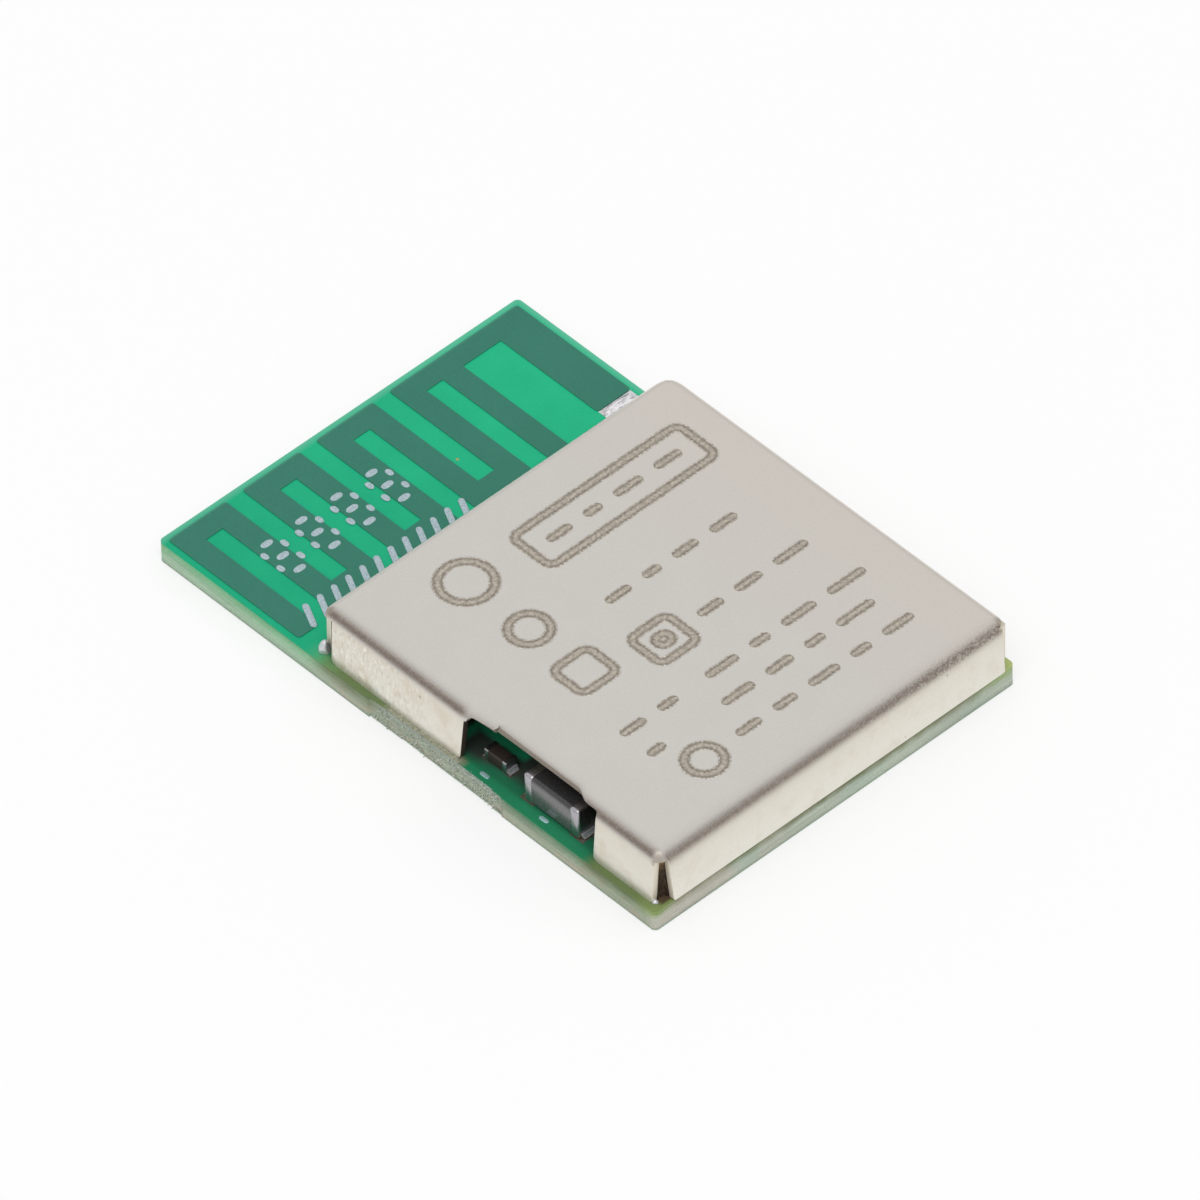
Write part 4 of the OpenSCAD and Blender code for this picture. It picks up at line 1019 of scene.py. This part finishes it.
# Sheared edge: a taupe torn band, paler at the two ends of the window, and painted dark as shade on the
# ends of the walls beside it
sheared, tree, spot = start_material("Sheared nickel silver")
tear = add(tree, "TexNoise", {"Vector": spot, "Scale": 1 / 0.06, "Detail": 3})
place = add(tree, "SeparateXYZ", {0: spot}).node.outputs
from_window = add(tree, "Math", {0: place[1], 1: 3.55}, operation="ADD")
from_window = add(tree, "Math", {0: from_window}, operation="ABSOLUTE")
ends = add(tree, "MapRange", {0: from_window, 1: 1.35, 2: 1.75})
cut_tone = add(tree, "Mix", {0: tear, 6: "#74695D", 7: "#978C80"})
end_tone = add(tree, "Mix", {0: tear, 6: "#B9AF9E", 7: "#D6CDBE"})
rim_tone = add(tree, "Mix", {0: ends, 6: cut_tone, 7: end_tone})
low_down = add(tree, "MapRange", {0: place[2], 1: 1.6, 2: 1.72, 3: 1, 4: 0})
# the ends of the walls beside the window are painted dark, as shade
stain_and_shade = add(tree, "MapRange", {0: from_window, 1: 2.1, 2: 2.4, 3: 1, 4: 0})
stain_and_shade = add(tree, "Math", {0: low_down, 1: stain_and_shade}, operation="MULTIPLY")
rim_tone = add(tree, "Mix", {0: low_down, 6: rim_tone, 7: "#E0D9C9"})
add(tree, "OutputMaterial", {0: add(tree, "BsdfPrincipled", {
    "Base Color": add(tree, "Mix", {0: stain_and_shade, 6: rim_tone, 7: "#4A4038"}),
    "Metallic": 0.4, "Roughness": add(tree, "MapRange", {0: tear, 3: 0.35, 4: 0.55})})})
# Inside of the can: a brownish grey, painted darker than the outside as shade, since hardly any light
# reaches it
inside = grained("Nickel silver inside, painted dark as shade", 0.5, "#B5AA96", "#CBC1AE", 0.5, 0.65, metallic=1)
can = make_object("shield_sheet", bm, nickel, sheared, inside)
solid = can.modifiers.new("sheet", "SOLIDIFY")
solid.thickness = SHEET * MM
solid.offset = -1
solid.use_even_offset = True
solid.use_quality_normals = True
solid.material_offset = 2
solid.material_offset_rim = 1
bevel = can.modifiers.new("broken edges", "BEVEL")
bevel.width = 0.01 * MM
bevel.segments = 2
bevel.limit_method = "ANGLE"
bevel.angle_limit = math.radians(50)
done = bpy.data.meshes.new_from_object(can.evaluated_get(bpy.context.evaluated_depsgraph_get()))
can.modifiers.clear()
can.data = done
can.data.shade_smooth()
can.data.set_sharp_from_angle(angle=math.radians(40))
fit(can, "shield_sheet", "shield_can")

# Marks on the shield's top: plain shapes burnt in by a laser, whose pulses leave two dark
# grainy lines with a pale floor between them and a faint pale heat mark outside.
TOP_Z = CAN_Z + CAN_H


def frame_path(x0, y0, x1, y1):
    """A frame between two corners."""
    return [(x0, y0, TOP_Z), (x1, y0, TOP_Z), (x1, y1, TOP_Z), (x0, y1, TOP_Z), (x0, y0, TOP_Z)]


def ring_path(x, y, r):
    """A ring round a place."""
    turns = [i * math.pi / 16 for i in range(32)]
    return [(x + r * math.cos(a), y + r * math.sin(a), TOP_Z) for a in turns] + [(x + r, y, TOP_Z)]


def dash_row(y, *ends):
    """Dashes in one row, each from x to x."""
    return [[(a, y, TOP_Z), (b, y, TOP_Z)] for a, b in ends]


burnt, tree, spot = start_material("Laser-burnt nickel silver")
across = add(tree, "Attribute", out="Fac", attribute_name="across")
# pulses about 0.05 mm apart
pulses = add(tree, "TexNoise", {"Vector": spot, "Scale": 1 / 0.05, "Detail": 3, "Roughness": 0.75})
wobble = add(tree, "MapRange", {0: pulses, 1: 0.3, 2: 0.7, 3: -0.24, 4: 0.24})
wobble = add(tree, "Math", {0: across, 1: wobble}, operation="ADD")
groove = add(tree, "ValToRGB", {0: wobble}, stops=(
    (0.05, "#C4BCAF"), (0.25, "#BFB7AA"), (0.48, "#A0968A"), (0.62, "#9B9185"), (0.8, "#BDB6AA"),
    (0.95, "#DDD9D2")))
sparks = add(tree, "TexNoise", {"Vector": spot, "Scale": 1 / 0.07, "Detail": 2})
glint = add(tree, "MapRange", {0: sparks, 1: 0.35, 2: 0.65, 3: 0.82, 4: 1.18})
add(tree, "OutputMaterial", {0: add(tree, "BsdfPrincipled", {
    "Base Color": add(tree, "VectorMath", {0: groove, "Scale": glint}, operation="SCALE"),
    "Metallic": 1, "Roughness": add(tree, "MapRange", {0: pulses, 3: 0.4, 4: 0.6}),
    "Normal": add(tree, "Bump", {"Height": pulses, "Distance": 0.004 * MM, "Strength": 0.6})})})
marks = [frame_path(-0.7, 0.25, 4.0, 1.45), frame_path(-1.0, -3.4, 0.05, -2.4)]
marks += [frame_path(-0.65, -3.05, -0.3, -2.75), frame_path(-2.75, -2.9, -1.75, -1.95)]
marks += [ring_path(-2.25, 1.15, 0.6), ring_path(-2.25, -0.75, 0.45), ring_path(-2.25, -6.0, 0.42)]
marks += dash_row(0.85, (-0.25, 0.45), (0.8, 1.3), (1.65, 2.45), (2.8, 3.55))
marks += dash_row(-1.3, (-0.6, 0.1), (0.45, 0.95), (1.3, 2.0), (2.35, 3.1))
marks += dash_row(-2.9, (0.5, 1.2), (1.55, 2.3), (2.65, 3.6))
marks += dash_row(-4.3, (-3.0, -2.3), (-1.95, -1.4), (-0.6, 0.3), (0.65, 1.2), (1.55, 2.5), (2.85, 3.9))
marks += dash_row(-5.1, (-3.0, -2.5), (-0.9, 0.0), (0.35, 1.1), (1.45, 2.0), (2.35, 3.4))
marks += dash_row(-5.95, (-1.3, -0.6), (-0.25, 0.4), (0.75, 1.6), (1.95, 2.5), (2.85, 3.7))
etching = grow("shield_marks", stroke_tree, stroke_ids, paths(*marks), {
    "Stroke Width": 0.28 * MM, "Stroke Height": 0.002 * MM, "End Length": 0.14 * MM,
    "Corner Radius": 0.2 * MM, "Coating": burnt})
fit(etching, "shield_sheet")

# Solder beads: small drops that wetted the board beside the shield's corners, with a
# spread foot and a lopsided crown.


def bead(bm, x, y, r, tall):
    """Adds a drop of this radius and height."""
    made = bmesh.ops.create_icosphere(bm, subdivisions=4, radius=1)["verts"]
    for v in made:
        n = v.co.copy()
        swell = r * (1 + 0.16 * jitter(n.x, n.y, n.z, 0.8))
        foot = 1 + 0.25 * max(0, 0.5 - n.z)
        v.co = Vector((x + n.x * swell * foot, y + n.y * swell * foot,
                       CAN_Z + max(0, tall * (n.z + 0.25))))


bm = bmesh.new()
bead(bm, -4.805, 2.735, 0.12, 0.24)
bead(bm, -4.876, -7.28, 0.06, 0.06)
beads = make_object("corner_beads", bm, tin)
fit(beads, "solder", "shield_solder")

# Flux residue and painted shade: a film of brown rosin that ran into the slit at the shield's near
# corner and dried between the two walls, hollow toward the slit. It also stands in for the shade in the
# gap, and is painted dark low down and pale at its top.
rosin_and_slit_shade, tree, spot = start_material("Rosin flux residue and slit shade")
dried = add(tree, "TexNoise", {"Vector": spot, "Scale": 1 / 0.06, "Detail": 3})
rise = add(tree, "SeparateXYZ", {0: spot}, out="Z")
# painted shade: dark low in the slit, pale at its top
film_tone = add(tree, "ValToRGB", {0: add(tree, "MapRange", {0: rise, 1: 0.5, 2: 1.8})}, stops=(
    (0.05, "#5C4D3E"), (0.3, "#554739"), (0.6, "#5E5341"), (0.72, "#8E7858"), (0.85, "#E0BE90")))
film_shade = add(tree, "MapRange", {0: dried, 1: 0.35, 2: 0.65, 3: 0.5, 4: 1.4})
add(tree, "OutputMaterial", {0: add(tree, "BsdfPrincipled", {
    "Base Color": add(tree, "VectorMath", {0: film_tone, "Scale": film_shade}, operation="SCALE"),
    "Roughness": add(tree, "MapRange", {0: dried, 3: 0.5, 4: 0.8}), "Specular IOR Level": 0.12,
    "Normal": add(tree, "Bump", {"Height": dried, "Distance": 0.006 * MM, "Strength": 0.6})})})
FILM_ROWS, FILM_COLUMNS, FILM_T, FILM_HOLLOW = 24, 8, 0.03, 0.05
# the film's lower and upper end on the window wall and on the end wall
LEFT_LOW, LEFT_HIGH = Vector((-4.80, -7.252, 0.552)), Vector((-4.745, -7.282, 1.69))
RIGHT_LOW, RIGHT_HIGH = Vector((-4.57, -7.36, 0.552)), Vector((-4.60, -7.265, 1.69))
bm = bmesh.new()
film = []
for i in range(FILM_ROWS + 1):
    left = LEFT_LOW.lerp(LEFT_HIGH, i / FILM_ROWS)
    right = RIGHT_LOW.lerp(RIGHT_HIGH, i / FILM_ROWS)
    row = []
    for j in range(FILM_COLUMNS + 1):
        share = j / FILM_COLUMNS
        hollow = FILM_HOLLOW * math.sin(math.pi * share) + 0.008 * jitter(i, j, 0, 2.5)
        row.append(bm.verts.new(left.lerp(right, share) + Vector((hollow, hollow, 0)) * 0.7))
    film.append(row)
for a, b in zip(film, film[1:]):
    for j in range(FILM_COLUMNS):
        bm.faces.new((a[j], a[j + 1], b[j + 1], b[j]))
# the faces have no normals yet here, so the two skins come out in one place and not FILM_T apart
bmesh.ops.solidify(bm, geom=bm.faces[:], thickness=FILM_T)
bmesh.ops.recalc_face_normals(bm, faces=bm.faces)
in_order(bm)
flux_and_shade_film = make_object("slit_flux_and_shade_film", bm, rosin_and_slit_shade)
fit(flux_and_shade_film, "solder")

# Studio: a white paper floor under an even sky that is dimmer near the horizon, one broad lamp
# from the camera's side, and a long lens at the photograph's angle.
floor_bm = bmesh.new()
# the floor lies a hair below the module, because two faces in one plane would flicker
sunk = Matrix.Translation((0, 0, -0.01))
bmesh.ops.create_circle(floor_bm, cap_ends=True, segments=96, radius=600, matrix=sunk)
paper, tree, spot = start_material("White paper floor")
rays = add(tree, "LightPath").node.outputs
seen = add(tree, "Math", {0: rays["Is Camera Ray"], 1: rays["Is Glossy Ray"]}, operation="MAXIMUM")
seen = add(tree, "Math", {0: seen, 1: rays["Is Transmission Ray"]}, operation="MAXIMUM")
white = add(tree, "Math", {0: seen, 1: 0.6}, operation="MULTIPLY")
matt = add(tree, "BsdfPrincipled", {
    "Base Color": "#F8F8F8", "Roughness": 0.9, "Specular IOR Level": 0.0})
bright = add(tree, "Emission", {"Color": "#FFFFFF", "Strength": 1.0})
add(tree, "OutputMaterial", {0: add(tree, "MixShader", {0: white, 1: matt, 2: bright})})
floor = make_object("paper_floor", floor_bm, paper)
scene = bpy.context.scene
sky = bpy.data.worlds.new("studio")
sky.use_nodes = True
tree = sky.node_tree
tree.nodes.clear()
up = add(tree, "SeparateXYZ", {0: add(tree, "TexCoord", out="Generated")}, out="Z")
glow = add(tree, "MapRange", {0: up, 1: 0.1, 2: 0.6, 3: 0.62, 4: 0.82})
add(tree, "OutputWorld", {0: add(tree, "Background", {"Color": "#FFFFFF", "Strength": glow})})
scene.world = sky
lamp_data = bpy.data.lights.new("broad_lamp", "AREA")
lamp_data.shape = "DISK"
lamp_data.size = 0.8
lamp_data.energy = 3.4
lamp = bpy.data.objects.new("broad_lamp", lamp_data)
lamp.location = (-0.35, -0.3, 0.95)
lamp.rotation_euler = Vector(lamp.location).to_track_quat("Z", "Y").to_euler()
scene.collection.objects.link(lamp)
camera_data = bpy.data.cameras.new("long_lens")
camera_data.sensor_width = 36
camera_data.lens = 796.4
camera_data.clip_start, camera_data.clip_end = 0.05, 5
camera = bpy.data.objects.new("long_lens", camera_data)
azimuth, elevation, roll = math.radians(-42.0), math.radians(45.36), math.radians(-1.69)
back = Vector((math.sin(azimuth) * math.cos(elevation), -math.cos(azimuth) * math.cos(elevation),
               math.sin(elevation)))
level = Vector((math.cos(azimuth), math.sin(azimuth), 0))
upright = back.cross(level)
right = level * math.cos(roll) + upright * math.sin(roll)
rise = upright * math.cos(roll) - level * math.sin(roll)
# the lens looks a little right of and below the module's middle, from 548 mm away
CAMERA_GAP = 0.54825
aim = (Vector((0, 0, 0.8)) + right * 0.3057 - rise * 0.1322) * MM
turned = Matrix((right, rise, back)).transposed().to_4x4()
camera.matrix_world = Matrix.Translation(aim + back * CAMERA_GAP) @ turned
scene.collection.objects.link(camera)
scene.camera = camera
scene.view_settings.view_transform = "Standard"
